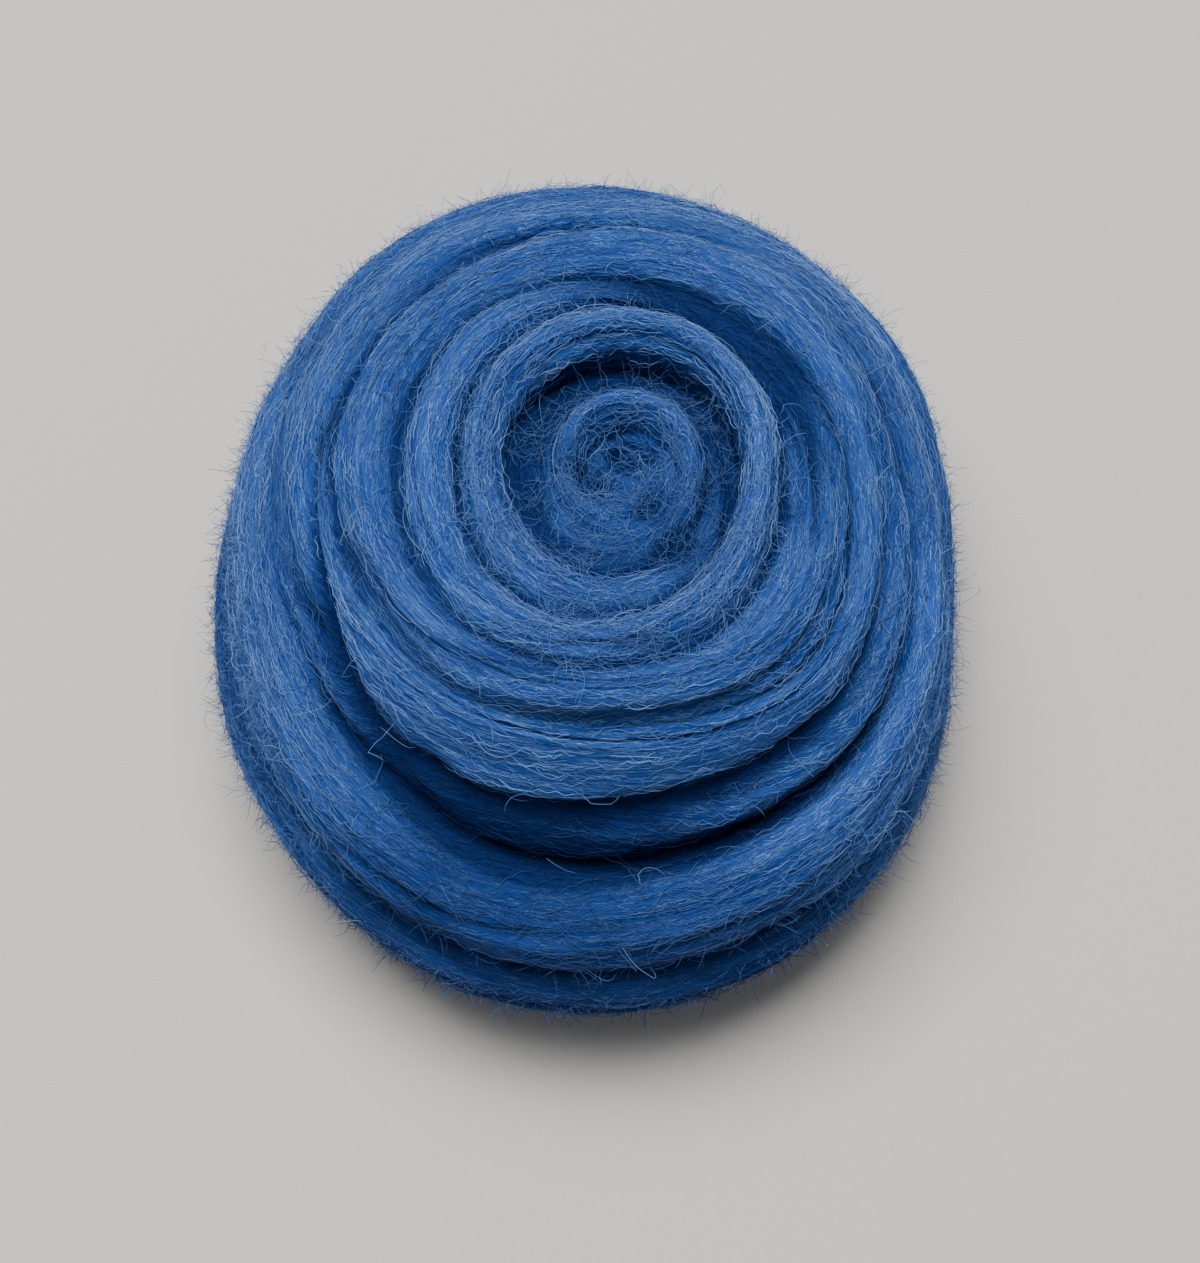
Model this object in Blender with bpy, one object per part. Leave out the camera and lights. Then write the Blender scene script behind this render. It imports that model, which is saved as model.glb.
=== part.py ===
"""A ball of wool roving, wound as one solid.

The roving is a soft strand about 11 mm thick. It starts in a small curl on top, winds outwards
and clockwise, comes over the rim of that hollow, and then runs round the ball and under it. The
solid is the outside of that winding: one long strip, as wide as the part of the strand that
shows, laid round and round so that each turn's outer edge is the next turn's inner edge. The
edges meet in the grooves and the strand swells between them. The ball lies on a small flat spot.

The X axis points east and the Y axis north. The origin is the middle of the flat spot.
"""

from collections import namedtuple
from math import pi, radians

import bmesh
import bpy
import numpy as np

MM = 0.001
UP = np.array([0.0, 0.0, 1.0])

# How the strip is divided.
STEPS_PER_TURN = 60
STEPS_ACROSS = 6
QUARTERS = 4

# The strand's round section: 0 would be a flat ribbon, and 1 a full half circle with upright sides.
ROUNDNESS = 0.9
# The strand swells out midway between its two flanks, and by this share square to its neighbours.
SQUARE_SHARE = 0.4

# Grooves sink straight down above the first height, and straight inwards below the second one.
GROOVES_DOWN_ABOVE = 50.0
GROOVES_IN_BELOW = 22.0

# How deep the small hole in the middle of the first turn is.
CENTRE_DEPTH = 2.5
SHARP_EDGE = radians(50)

WOOL_BLUE = (0.055, 0.165, 0.42, 1.0)
WOOL_ROUGHNESS = 0.85

# One row for each turn, from the middle of the curl to the sole, in millimetres. Each of the first
# three columns holds four values, at the east, south, west and north of the turn.
#   reach    how far out the turn's crest is from the ball's axis, on that side
#   height   how high the crest is above the floor
#   groove   how deep the groove outside the turn is, below the line from its crest to the next
#            turn's crest
#   corners  how far the crest stands outside a plain round, at the south-east, south-west,
#            north-west and north-east
Turn = namedtuple("Turn", "name reach height groove corners")
TURNS = (
    Turn("core", reach=(5.0, 0.0, -2.0, 4.5), height=(67.5, 67.5, 68.0, 68.5),
         groove=(0.8, 0.8, 2.0, 2.4), corners=(0.0, 0.0, 0.0, 0.0)),
    Turn("heart", reach=(8.8, 5.0, 2.1, 9.0), height=(68.0, 68.5, 70.0, 71.5),
         groove=(0.8, 0.5, 1.6, 4.2), corners=(0.0, 0.0, 0.0, 0.0)),
    Turn("curl", reach=(13.2, 9.9, 6.8, 15.0), height=(70.5, 68.5, 67.5, 66.0),
         groove=(1.4, 0.7, 3.4, 5.6), corners=(0.0, 0.0, 0.0, 0.0)),
    Turn("hollow", reach=(17.7, 16.6, 13.2, 19.4), height=(67.5, 70.0, 73.0, 74.0),
         groove=(5.0, 4.0, 3.2, 3.4), corners=(0.0, 0.0, 0.0, 0.0)),
    Turn("rim", reach=(21.4, 24.0, 20.2, 25.5), height=(74.5, 74.0, 73.0, 73.0),
         groove=(3.8, 2.8, 3.0, 3.4), corners=(0.0, 0.0, 0.0, 0.0)),
    Turn("second", reach=(29.6, 28.8, 29.2, 34.0), height=(71.0, 71.0, 69.0, 67.5),
         groove=(3.4, 2.8, 2.4, 3.0), corners=(3.0, 0.0, 0.0, 0.0)),
    Turn("third", reach=(37.7, 34.6, 37.0, 45.8), height=(63.0, 62.5, 60.0, 57.0),
         groove=(3.6, 18.0, 2.6, 2.6), corners=(3.5, 0.0, 0.0, 2.5)),
    Turn("outer", reach=(47.6, 52.5, 47.4, 57.2), height=(44.5, 39.5, 43.5, 43.0),
         groove=(2.8, 2.2, 2.4, 2.4), corners=(2.4, 0.5, 0.0, 3.0)),
    Turn("under", reach=(51.2, 58.3, 52.2, 58.0), height=(28.0, 23.0, 27.5, 27.5),
         groove=(3.0, 3.0, 3.0, 3.0), corners=(1.9, -0.8, -0.5, 2.2)),
    Turn("lower", reach=(48.0, 53.5, 47.5, 50.5), height=(14.0, 11.0, 13.0, 12.0),
         groove=(2.8, 2.8, 2.6, 2.6), corners=(1.5, 0.0, 0.0, 0.5)),
    Turn("foot", reach=(40.0, 42.0, 35.5, 36.0), height=(5.4, 4.8, 4.3, 4.0),
         groove=(2.4, 2.2, 2.0, 2.0), corners=(0.0, 0.0, 0.0, 0.0)),
    Turn("sole", reach=(28.0, 27.0, 22.0, 21.0), height=(2.0, 0.6, -1.0, -2.4),
         groove=(1.4, 1.2, 1.0, 1.0), corners=(0.0, 0.0, 0.0, 0.0)),
    Turn("end", reach=(16.0, 15.0, 11.0, 10.0), height=(-4.0, -6.0, -8.0, -10.0),
         groove=(1.0, 1.0, 1.0, 1.0), corners=(0.0, 0.0, 0.0, 0.0)),
)
# The first and last rows only steer the strand's ends. The last turn goes below the floor, and the
# flat spot cuts that part away.
FIRST_TURN = 1
LAST_TURN = 11

# Places where the strand is pressed in or pushed out of the smooth run that the table gives.
#   at, spread     where it is along the strand, in quarter turns from the east of the first row, and
#                  how far it fades out to each side
#   out, up        how far the crest moves outwards and up there
#   groove_out     how far the groove outside the strand moves outwards between its two crests
#   groove_deeper  how much deeper that groove gets
Dent = namedtuple("Dent", "name at spread out up groove_out groove_deeper")
DENTS = (
    Dent("tucked curl", at=8.6, spread=1.0, out=0.0, up=-1.5, groove_out=0.0, groove_deeper=1.0),
    Dent("gap behind the curl", at=11.3, spread=1.1, out=0.0, up=0.0, groove_out=0.0, groove_deeper=2.2),
    Dent("pushed rim", at=15.5, spread=0.9, out=1.6, up=0.0, groove_out=0.0, groove_deeper=1.0),
    Dent("narrow rim", at=16.2, spread=0.6, out=0.0, up=0.0, groove_out=-1.6, groove_deeper=0.0),
    Dent("pressed hollow", at=19.45, spread=0.85, out=1.0, up=-6.0, groove_out=0.0, groove_deeper=0.0),
    Dent("deep crevice", at=25.0, spread=1.5, out=0.0, up=0.0, groove_out=-5.2, groove_deeper=0.0),
    Dent("narrow crevice", at=24.45, spread=0.6, out=0.0, up=0.0, groove_out=0.0, groove_deeper=-3.0),
    Dent("shallow west", at=25.72, spread=0.6, out=0.0, up=0.0, groove_out=0.0, groove_deeper=-4.5),
    Dent("raised corner", at=28.45, spread=0.8, out=0.0, up=2.6, groove_out=0.0, groove_deeper=0.0),
)


def through(values, at):
    """A smooth curve through evenly spaced values (Catmull-Rom), read at the positions given."""
    at = np.asarray(at, float)
    last = len(values) - 1
    low = np.clip(np.floor(at).astype(int), 0, last - 1)
    f = at - low
    before, here = values[np.clip(low - 1, 0, last)], values[low]
    there, after = values[low + 1], values[np.clip(low + 2, 0, last)]
    bend = 2 * before - 5 * here + 4 * there - after
    return here + 0.5 * f * (there - before + f * (bend + f * (3 * (here - there) + after - before)))


def unit(vectors):
    return vectors / np.linalg.norm(vectors, axis=-1, keepdims=True)


def column(name):
    """One column of the table as one row of quarter-turn values along the whole strand."""
    return np.array([value for turn in TURNS for value in getattr(turn, name)], float)


def dented(name, s):
    """How far the dents change one measure at s: each one swells and fades smoothly."""
    near = [np.clip(1 - np.abs(s - dent.at) / dent.spread, 0, 1) for dent in DENTS]
    return sum(getattr(dent, name) * n * n * (3 - 2 * n) for dent, n in zip(DENTS, near))


class Winding:
    """The strand's path. A position s counts quarter turns from the east of the first table row."""

    def __init__(self):
        reach = column("reach")
        east, south, west, north = reach.reshape(-1, QUARTERS).T
        self.middle_x = (east - west) / 2
        self.middle_y = (north - south) / 2
        self.height = column("height")
        self.groove = column("groove")
        quarter = np.arange(len(reach))
        x, y = self.middle(quarter)
        outward = np.stack([-x, y, x, -y])
        self.radius = reach + outward[quarter % QUARTERS, quarter]
        corners = column("corners")
        self.bulge = np.stack([np.zeros_like(corners), corners], 1).reshape(-1)

    def middle(self, s):
        """The middle of the turn at s. It drifts from the curl's middle to the ball's axis."""
        turn = np.clip((s - 1.5) / QUARTERS, 0, len(TURNS) - 1)
        return through(self.middle_x, turn), through(self.middle_y, turn)

    def outward(self, s):
        angle = -pi / 2 * np.asarray(s, float)
        return np.stack([np.cos(angle), np.sin(angle), np.zeros_like(angle)], -1)

    def crest(self, s):
        x, y = self.middle(s)
        radius = through(self.radius, s) + through(self.bulge, 2 * np.asarray(s, float))
        radius = radius + dented("out", s)
        centre = np.stack([x, y, through(self.height, s) + dented("up", s)], -1)
        return centre + radius[..., None] * self.outward(s)

    def groove_outside(self, s):
        """The bottom of the groove between the strand at s and the strand one turn on."""
        between = (self.crest(s) + self.crest(s + QUARTERS)) / 2
        span = GROOVES_DOWN_ABOVE - GROOVES_IN_BELOW
        share = np.clip((between[..., 2] - GROOVES_IN_BELOW) / span, 0, 1)
        tilt = share * share * (3 - 2 * share) * pi / 2
        sink = -np.cos(tilt)[..., None] * self.outward(s) - np.sin(tilt)[..., None] * UP
        across = unit(self.crest(s + QUARTERS) - self.crest(s))
        depth = through(self.groove, s) + dented("groove_deeper", s)
        return between + dented("groove_out", s)[..., None] * across + depth[..., None] * sink

    def square_to_neighbours(self, s):
        """The direction that stands square on the line from the turn inside s to the turn outside."""
        step = self.crest(s + QUARTERS) - self.crest(s - QUARTERS)
        out = self.outward(s)
        run = (step * out).sum(-1)
        return unit(run[..., None] * UP - step[..., 2:] * out)

    def surface(self, s, across):
        """Points of the strand's outside. across is -1 at the inner groove and 1 at the outer one."""
        crest = self.crest(s)
        inner, outer = self.groove_outside(s - QUARTERS), self.groove_outside(s)
        between_flanks = unit(crest - inner) + unit(crest - outer)
        swelling = unit(between_flanks + SQUARE_SHARE * self.square_to_neighbours(s))
        to_edge = np.where((across < 0)[..., None], inner, outer) - crest
        drop = (to_edge * swelling).sum(-1, keepdims=True) * swelling
        w = np.abs(across)[..., None]
        fall = (1 - np.sqrt(1 - (ROUNDNESS * w) ** 2)) / (1 - np.sqrt(1 - ROUNDNESS**2))
        return crest + w * (to_edge - drop) + fall * drop


def clear_scene():
    for thing in list(bpy.data.objects):
        bpy.data.objects.remove(thing)


def wool_material():
    material = bpy.data.materials.new("blue_wool")
    material.use_nodes = True
    shader = material.node_tree.nodes["Principled BSDF"]
    shader.inputs["Base Color"].default_value = WOOL_BLUE
    shader.inputs["Roughness"].default_value = WOOL_ROUGHNESS
    shader.inputs["Metallic"].default_value = 0.0
    return material


def lay_strip(bm):
    """The strand as a flat strip, moved vertex by vertex to where it lies on the ball."""
    steps = (LAST_TURN + 1 - FIRST_TURN) * STEPS_PER_TURN
    bmesh.ops.create_grid(bm, x_segments=steps, y_segments=STEPS_ACROSS, size=1.0)
    flat = np.array([v.co for v in bm.verts])
    along_step = np.round((flat[:, 0] + 1) / 2 * steps)
    across_step = np.round((flat[:, 1] + 1) / 2 * STEPS_ACROSS)
    s = QUARTERS * (FIRST_TURN + along_step / STEPS_PER_TURN)
    points = Winding().surface(s, 2 * across_step / STEPS_ACROSS - 1) * MM
    for vert, point in zip(bm.verts, points):
        vert.co = point


def close_top(bm):
    """Fills the small loop inside the first turn, with all its faces meeting in its middle."""
    open_edges = [e for e in bm.edges if e.is_boundary]
    loop = [e for e in open_edges if e.verts[0].co.z > GROOVES_DOWN_ABOVE * MM]
    made = bmesh.ops.contextual_create(bm, geom=loop)["faces"]
    middle = bmesh.ops.poke(bm, faces=made)["verts"]
    bmesh.ops.translate(bm, verts=middle, vec=(0, 0, -CENTRE_DEPTH * MM))


def cut_flat_spot(bm):
    ball = bm.verts[:] + bm.edges[:] + bm.faces[:]
    bmesh.ops.bisect_plane(bm, geom=ball, plane_co=(0, 0, 0), plane_no=UP, clear_inner=True)
    rim = [e for e in bm.edges if e.is_boundary]
    bmesh.ops.contextual_create(bm, geom=rim)


def wound_roving():
    bm = bmesh.new()
    lay_strip(bm)
    bmesh.ops.remove_doubles(bm, verts=bm.verts, dist=0.001 * MM)
    close_top(bm)
    cut_flat_spot(bm)
    bmesh.ops.recalc_face_normals(bm, faces=bm.faces)
    mesh = bpy.data.meshes.new("wound_roving")
    bm.to_mesh(mesh)
    bm.free()
    mesh.shade_smooth()
    mesh.set_sharp_from_angle(angle=SHARP_EDGE)
    mesh.materials.append(wool_material())
    ball = bpy.data.objects.new("wound_roving", mesh)
    bpy.context.scene.collection.objects.link(ball)
    return ball


clear_scene()
wound_roving()
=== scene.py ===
"""A ball of dyed wool roving, wound from one combed strand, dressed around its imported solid.

The wound strand is one closed skin with the strand's turns, sub-strands and grooves in it. Fine
fibres lie along the strand on that skin, short ones stand off it as fuzz, and long ones cross the
grooves and the curl in the middle. Sizes in the tables and in the code are in millimetres, apart
from the floor's and the window's, which are in metres.
"""

from collections import namedtuple
from functools import partial
from math import pi, radians
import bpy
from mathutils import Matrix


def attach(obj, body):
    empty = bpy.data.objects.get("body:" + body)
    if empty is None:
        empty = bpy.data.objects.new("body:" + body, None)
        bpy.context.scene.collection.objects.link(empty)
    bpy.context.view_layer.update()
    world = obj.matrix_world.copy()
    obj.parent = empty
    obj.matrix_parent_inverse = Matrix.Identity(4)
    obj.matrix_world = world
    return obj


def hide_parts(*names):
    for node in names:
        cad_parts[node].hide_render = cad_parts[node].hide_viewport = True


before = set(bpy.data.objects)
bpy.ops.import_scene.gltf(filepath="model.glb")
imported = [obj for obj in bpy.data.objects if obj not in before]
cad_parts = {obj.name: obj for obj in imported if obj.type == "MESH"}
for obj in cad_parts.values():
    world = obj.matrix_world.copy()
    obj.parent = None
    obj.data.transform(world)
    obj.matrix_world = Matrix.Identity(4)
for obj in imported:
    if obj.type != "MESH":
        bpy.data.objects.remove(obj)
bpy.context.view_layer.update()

from types import SimpleNamespace

import bpy
import numpy as np
from bpy.props import FloatProperty, FloatVectorProperty, IntProperty, PointerProperty
from bpy.types import Operator, Panel, PropertyGroup
from mathutils import Vector

bl_info = {
    "name": "Wound wool roving",
    "version": (1, 0, 0),
    "blender": (4, 5, 0),
    "location": "View3D > Sidebar > Roving",
    "description": "Winds a ball of dyed wool roving and covers it with fine fibres",
    "category": "Object",
}

MM = 0.001
UP = np.array([0.0, 0.0, 1.0])
NODE = "wound_roving"
# A turn is counted in quarters, its east, south, west and north, and this is the middle of them.
QUARTERS = 4
MID_TURN = (QUARTERS - 1) / 2

# The strand's round section: 0 would be a flat ribbon, and 1 a full half circle with upright sides.
ROUNDNESS = 0.9
# The strand swells out midway between its two flanks, and by this share square to its neighbours.
SQUARE_SHARE = 0.4
# Grooves sink straight down above the first height, and straight inwards below the second one.
GROOVES_DOWN_ABOVE = 50.0
GROOVES_IN_BELOW = 22.0

# One row for each turn, from the middle of the curl to the sole, in millimetres. Each of the first
# three columns holds four values, at the east, south, west and north of the turn.
#   reach    how far out the turn's crest is from the ball's axis, on that side
#   height   how high the crest is above the floor
#   groove   how deep the groove outside the turn is, below the line from its crest to the next
#            turn's crest
#   corners  how far the crest stands outside a plain round, at the south-east, south-west,
#            north-west and north-east
Turn = namedtuple("Turn", "name reach height groove corners", defaults=[(0.0,) * QUARTERS])
TURNS = (
    Turn("core", reach=(5.0, 0.0, -2.0, 4.5), height=(67.5, 67.5, 68.0, 68.5),
         groove=(0.8, 0.8, 2.0, 2.4)),
    Turn("heart", reach=(8.8, 5.0, 2.1, 9.0), height=(68.0, 68.5, 70.0, 71.5),
         groove=(0.8, 0.5, 1.6, 4.2)),
    Turn("curl", reach=(13.2, 9.9, 6.8, 15.0), height=(70.5, 68.5, 67.5, 66.0),
         groove=(1.4, 0.7, 3.4, 5.6)),
    Turn("hollow", reach=(17.7, 16.6, 13.2, 19.4), height=(67.5, 70.0, 73.0, 74.0),
         groove=(5.0, 4.0, 3.2, 3.4)),
    Turn("rim", reach=(21.4, 24.0, 20.2, 25.5), height=(74.5, 74.0, 73.0, 73.0),
         groove=(3.8, 2.8, 3.0, 3.4)),
    Turn("second", reach=(29.6, 28.8, 29.2, 34.0), height=(71.0, 71.0, 69.0, 67.5),
         groove=(3.4, 2.8, 2.4, 3.0), corners=(3.0, 0.0, 0.0, 0.0)),
    Turn("third", reach=(37.7, 34.6, 37.0, 45.8), height=(63.0, 62.5, 60.0, 57.0),
         groove=(3.6, 18.0, 2.6, 2.6), corners=(3.5, 0.0, 0.0, 2.5)),
    Turn("outer", reach=(47.6, 52.5, 47.4, 57.2), height=(44.5, 39.5, 43.5, 43.0),
         groove=(2.8, 2.2, 2.4, 2.4), corners=(2.4, 0.5, 0.0, 3.0)),
    Turn("under", reach=(51.2, 58.3, 52.2, 58.0), height=(28.0, 23.0, 27.5, 27.5),
         groove=(3.0, 3.0, 3.0, 3.0), corners=(1.9, -0.8, -0.5, 2.2)),
    Turn("lower", reach=(48.0, 53.5, 47.5, 50.5), height=(14.0, 11.0, 13.0, 12.0),
         groove=(2.8, 2.8, 2.6, 2.6), corners=(1.5, 0.0, 0.0, 0.5)),
    Turn("foot", reach=(40.0, 42.0, 35.5, 36.0), height=(5.4, 4.8, 4.3, 4.0),
         groove=(2.4, 2.2, 2.0, 2.0)),
    Turn("sole", reach=(28.0, 27.0, 22.0, 21.0), height=(2.0, 0.6, -1.0, -2.4),
         groove=(1.4, 1.2, 1.0, 1.0)),
    Turn("end", reach=(16.0, 15.0, 11.0, 10.0), height=(-4.0, -6.0, -8.0, -10.0),
         groove=(1.0, 1.0, 1.0, 1.0)),
)
# The first and last rows only steer the strand's ends. The last turn goes below the floor, and the
# flat spot cuts that part away.
FIRST_TURN = 1
LAST_TURN = 11

# Places where the strand is pressed in or pushed out of the smooth run that the table gives.
#   at, spread     where it is along the strand, in quarter turns from the east of the first row,
#                  and how far it fades out to each side
#   out, up        how far the crest moves outwards and up there
#   groove_out     how far the groove outside the strand moves outwards between its two crests
#   groove_deeper  how much deeper that groove gets
Dent = namedtuple("Dent", "name at spread out up groove_out groove_deeper", defaults=(0.0,) * 4)
DENTS = (
    Dent("tucked curl", at=8.6, spread=1.0, up=-1.5, groove_deeper=1.0),
    Dent("gap behind the curl", at=11.3, spread=1.1, groove_deeper=2.2),
    Dent("pushed rim", at=15.5, spread=0.9, out=1.6, groove_deeper=1.0),
    Dent("narrow rim", at=16.2, spread=0.6, groove_out=-1.6),
    Dent("pressed hollow", at=19.45, spread=0.85, out=1.0, up=-6.0),
    Dent("deep crevice", at=25.0, spread=1.5, groove_out=-5.2),
    Dent("narrow crevice", at=24.45, spread=0.6, groove_deeper=-3.0),
    Dent("shallow west", at=25.72, spread=0.6, groove_deeper=-4.5),
    Dent("raised corner", at=28.45, spread=0.8, up=2.6),
)

# Creases and ridges of the sub-strands, each along a stretch of one turn.
#   start, end   where it begins and ends, in quarter turns from the east of that turn
#   across       where it lies at its start, middle and end: -1 is the inner groove, 1 the outer one
#   deep, wide   how deep it is, or with a minus how high a ridge is there, and half how wide
Crease = namedtuple("Crease", "turn start end across deep wide")
CREASES = (
    Crease("heart", -0.2, 1.6, (0.1, 0.2, 0.8), deep=0.4, wide=0.5),
    Crease("heart", 1.5, 4.9, (0.0, 0.1, 0.0), deep=-1.1, wide=1.8),
    Crease("curl", 0.5, 2.2, (-0.2, 0.2, 0.9), deep=0.4, wide=0.6),
    Crease("hollow", 0.9, 2.6, (-0.6, 0.1, -0.5), deep=0.7, wide=0.8),
    Crease("hollow", 2.3, 3.9, (-0.6, -0.5, -0.8), deep=0.8, wide=0.7),
    Crease("rim", 0.0, 1.4, (-0.3, 0.2, 0.8), deep=0.8, wide=0.8),
    Crease("rim", 1.0, 2.5, (-0.6, 0.3, 0.5), deep=0.9, wide=0.8),
    Crease("rim", 2.9, 4.3, (-0.9, -0.1, -0.4), deep=2.6, wide=1.8),
    Crease("second", -0.3, 1.3, (0.2, 0.65, 0.9), deep=1.5, wide=0.9),
    Crease("second", 0.8, 2.0, (-0.3, 0.4, 0.3), deep=0.9, wide=0.9),
    Crease("second", 1.9, 3.3, (0.5, -0.1, 0.2), deep=1.0, wide=1.0),
    Crease("third", -0.2, 2.2, (0.10, 0.50, 0.80), deep=3.2, wide=1.7),
    Crease("third", -0.2, 1.9, (0.50, 0.74, 0.90), deep=-1.6, wide=2.0),
    Crease("third", 0.2, 1.6, (-0.7, -0.45, -0.9), deep=0.9, wide=1.0),
    Crease("third", 2.2, 3.8, (-0.2, 0.3, 0.0), deep=1.1, wide=1.3),
    Crease("rim", 1.4, 3.1, (0.80, 0.86, 0.80), deep=2.2, wide=1.2),
    Crease("second", 1.3, 3.2, (0.80, 0.88, 0.80), deep=3.0, wide=1.5),
    Crease("third", 1.20, 2.25, (1.05, 0.20, -1.05), deep=4.6, wide=1.4),
    Crease("third", 2.2, 3.6, (0.80, 0.88, 0.80), deep=1.8, wide=1.4),
    Crease("third", 2.45, 3.40, (-0.86, -0.80, -0.70), deep=2.4, wide=1.1),
    Crease("third", -0.8, 0.5, (0.80, 0.86, 0.86), deep=2.4, wide=1.3),
    Crease("curl", 1.4, 4.4, (0.3, 0.4, 0.3), deep=2.2, wide=2.2),
    Crease("outer", -0.5, 1.2, (-0.4, 0.1, 0.5), deep=1.1, wide=1.3),
    Crease("outer", -0.3, 1.0, (-0.7, -0.62, -0.7), deep=-3.0, wide=2.6),
    Crease("outer", 0.7, 2.4, (-0.5, 0.3, 0.1), deep=1.2, wide=1.3),
    Crease("outer", 2.2, 3.6, (0.4, -0.2, 0.3), deep=1.0, wide=1.2),
    Crease("under", 0.2, 1.9, (0.5, -0.2, 0.3), deep=1.1, wide=1.3),
    Crease("under", 2.0, 3.9, (-0.3, 0.4, -0.2), deep=1.1, wide=1.3),
    Crease("lower", 0.4, 2.6, (0.3, -0.3, 0.2), deep=0.9, wide=1.2),
    Crease("lower", 2.4, 4.2, (-0.3, 0.3, 0.0), deep=0.9, wide=1.2),
)

# The strand's natural unevenness along its length: how long its random swells are, in quarter
# turns, and how much they change each measure of a strand that is FULL_WIDTH wide. A wider strand
# is no more uneven than UNEVEN_LIMIT times that.
Sway = namedtuple("Sway", "measure seed long high")
SWAYS = (
    Sway("out", 21, long=0.83, high=0.55),
    Sway("out", 22, long=0.31, high=0.25),
    Sway("up", 23, long=0.71, high=0.75),
    Sway("up", 24, long=0.29, high=0.35),
    Sway("groove_out", 25, long=0.67, high=0.80),
    Sway("groove_out", 26, long=0.27, high=0.35),
    Sway("groove_deeper", 27, long=0.59, high=1.10),
    Sway("groove_deeper", 28, long=0.25, high=0.50),
)
FULL_WIDTH = 13.0
UNEVEN_LIMIT = 1.1

# The skin's relief. Folds are random valleys that run along the strand and wander across it, so
# that they part and meet. Ribs are soft random ridges.
#   long, wide   the size of the random pattern along and across the strand
#   drift        how far it moves across for each millimetre along
#   high         the height of the ribs, or the depth of the folds
Relief = namedtuple("Relief", "kind seed long wide drift high")
RELIEF = (
    Relief("rib", 11, long=34.0, wide=8.0, drift=0.03, high=0.65),
    Relief("fold", 12, long=46.0, wide=6.0, drift=-0.05, high=0.95),
    Relief("fold", 13, long=30.0, wide=3.4, drift=0.07, high=0.55),
    Relief("rib", 14, long=24.0, wide=2.2, drift=0.04, high=0.26),
    Relief("fold", 15, long=20.0, wide=1.9, drift=-0.04, high=0.30),
)
# How narrow a fold is: the share of its pattern's swing that it takes up.
FOLD_SHARE = 0.17
# A second random pattern, wider and with a seed so much higher, thins the folds out here and there.
# It leaves this share of a fold's depth where it is level, and adds this much at its most.
FOLD_THINNING = dict(seed_on=100, wider=2, level=0.5, swing=1.2)
# Relief gets its full height where the strand is so many times wider than the relief's pattern. It
# dies out towards the grooves with this power of the distance across.
ROOM_NEEDED = 2.4
RELIEF_POWER = 5
# How fast a crease gets deep from its ends: 1 is evenly, like a sine, and less is sooner.
CREASE_ENDS = 0.7
# No stretch of the strand counts as narrower than this.
NARROWEST = 2.0

# Painted shade: the wool's colour turns towards the shade colour by a share from 0 to 1 that the
# causes below add up to. All of them paint shade where the wool lies sunk, creased or low, apart
# from the long streaks, which are the wool's own uneven tone. A pair of limits gives where a cause
# starts and where it works in full.
# The wool beside a groove: how far it fades out, and how deep the groove is for the full share.
EDGE_SHARE = 0.55
EDGE_FADE = 1.2
EDGE_DEEP = 3.0
# How deep the wool lies below the strand's own crest.
GROOVE_SHARE = 0.8
GROOVE_DEEP = (6.0, 22.0)
# Folds, creases and dips, and a strand that is pressed down, all for each millimetre.
FOLDED_SHARE = 0.4
CREASED_SHARE = 0.22
DIP_SHARE = 0.3
PRESSED_SHARE = 0.15
# Upper wool that lies below what is around it: its height, how far below, and the softened map of
# heights that it is measured from.
SUNK_FULL = 0.9
UPPER_SIDE = (30.0, 38.0)
SUNK_DEEP = (0.0, 3.8)
AROUND = dict(cell=1.0, softened=110)
# Low wool that the ball's own bulk shades, by its height.
SHADED_SHARE = 0.40
SHADED_BELOW = (42.0, 24.0)
# The low shelf in the shade of the turns above it, by its height and how far south it lies.
SHELF_SHARE = 0.68
SHELF_BELOW = (52.0, 42.0)
SHELF_SOUTH = (30.0, 48.0)
# The small turns down in the bowl, by their place along the strand in quarter turns.
BOWL_SHARE = 0.22
BOWL_OUT_TO = (13.0, 11.0)
# The cap in the middle of the curl.
CAP_SHARE = 0.25
# Long soft streaks of deeper wool: their random pattern, its size along and across, and its share.
STREAKS = dict(seed=31, long=48.0, wide=3.2)
STREAK_SHARE = 0.20
# The most that the painted shade, with the streaks, covers the wool's own colour.
SUNK_SHARE = 0.92

# How finely the skin of the wound strand is divided, and how finely a map of heights reads it.
STEPS_PER_TURN = 160
STEPS_ACROSS = 34
READ_STEP = 0.2
READ_RANKS = 3 * STEPS_ACROSS + 1
# Points closer than this are one point. TINY keeps an index inside its table, and the length of a
# direction above nothing.
WELD = 0.001
TINY = 1e-6

# How many rings the cap that closes the middle of the curl has, and over how many of them, from its
# edge, the dips set in. Its fibres are drawn at an angle, given as its cosine and its sine.
CAP_RINGS = 9
CAP_EASE = 4
CAP_TURN = (0.87, 0.5)
# Dips pressed straight down into the curl and the cap: the middle and the radius of each, and how
# high it stands, which is negative.
Dip = namedtuple("Dip", "east north radius high")
DIPS = (
    Dip(5.0, 4.4, radius=2.3, high=-3.4),
    Dip(1.2, -0.2, radius=1.9, high=-2.6),
    Dip(-1.8, 0.8, radius=1.6, high=-1.6),
    Dip(8.6, 4.0, radius=1.5, high=-1.8),
    Dip(8.2, -3.6, radius=1.8, high=-1.4),
    Dip(11.6, -9.6, radius=2.6, high=-1.6),
)
DIPS_ABOVE = 60.0
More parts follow.
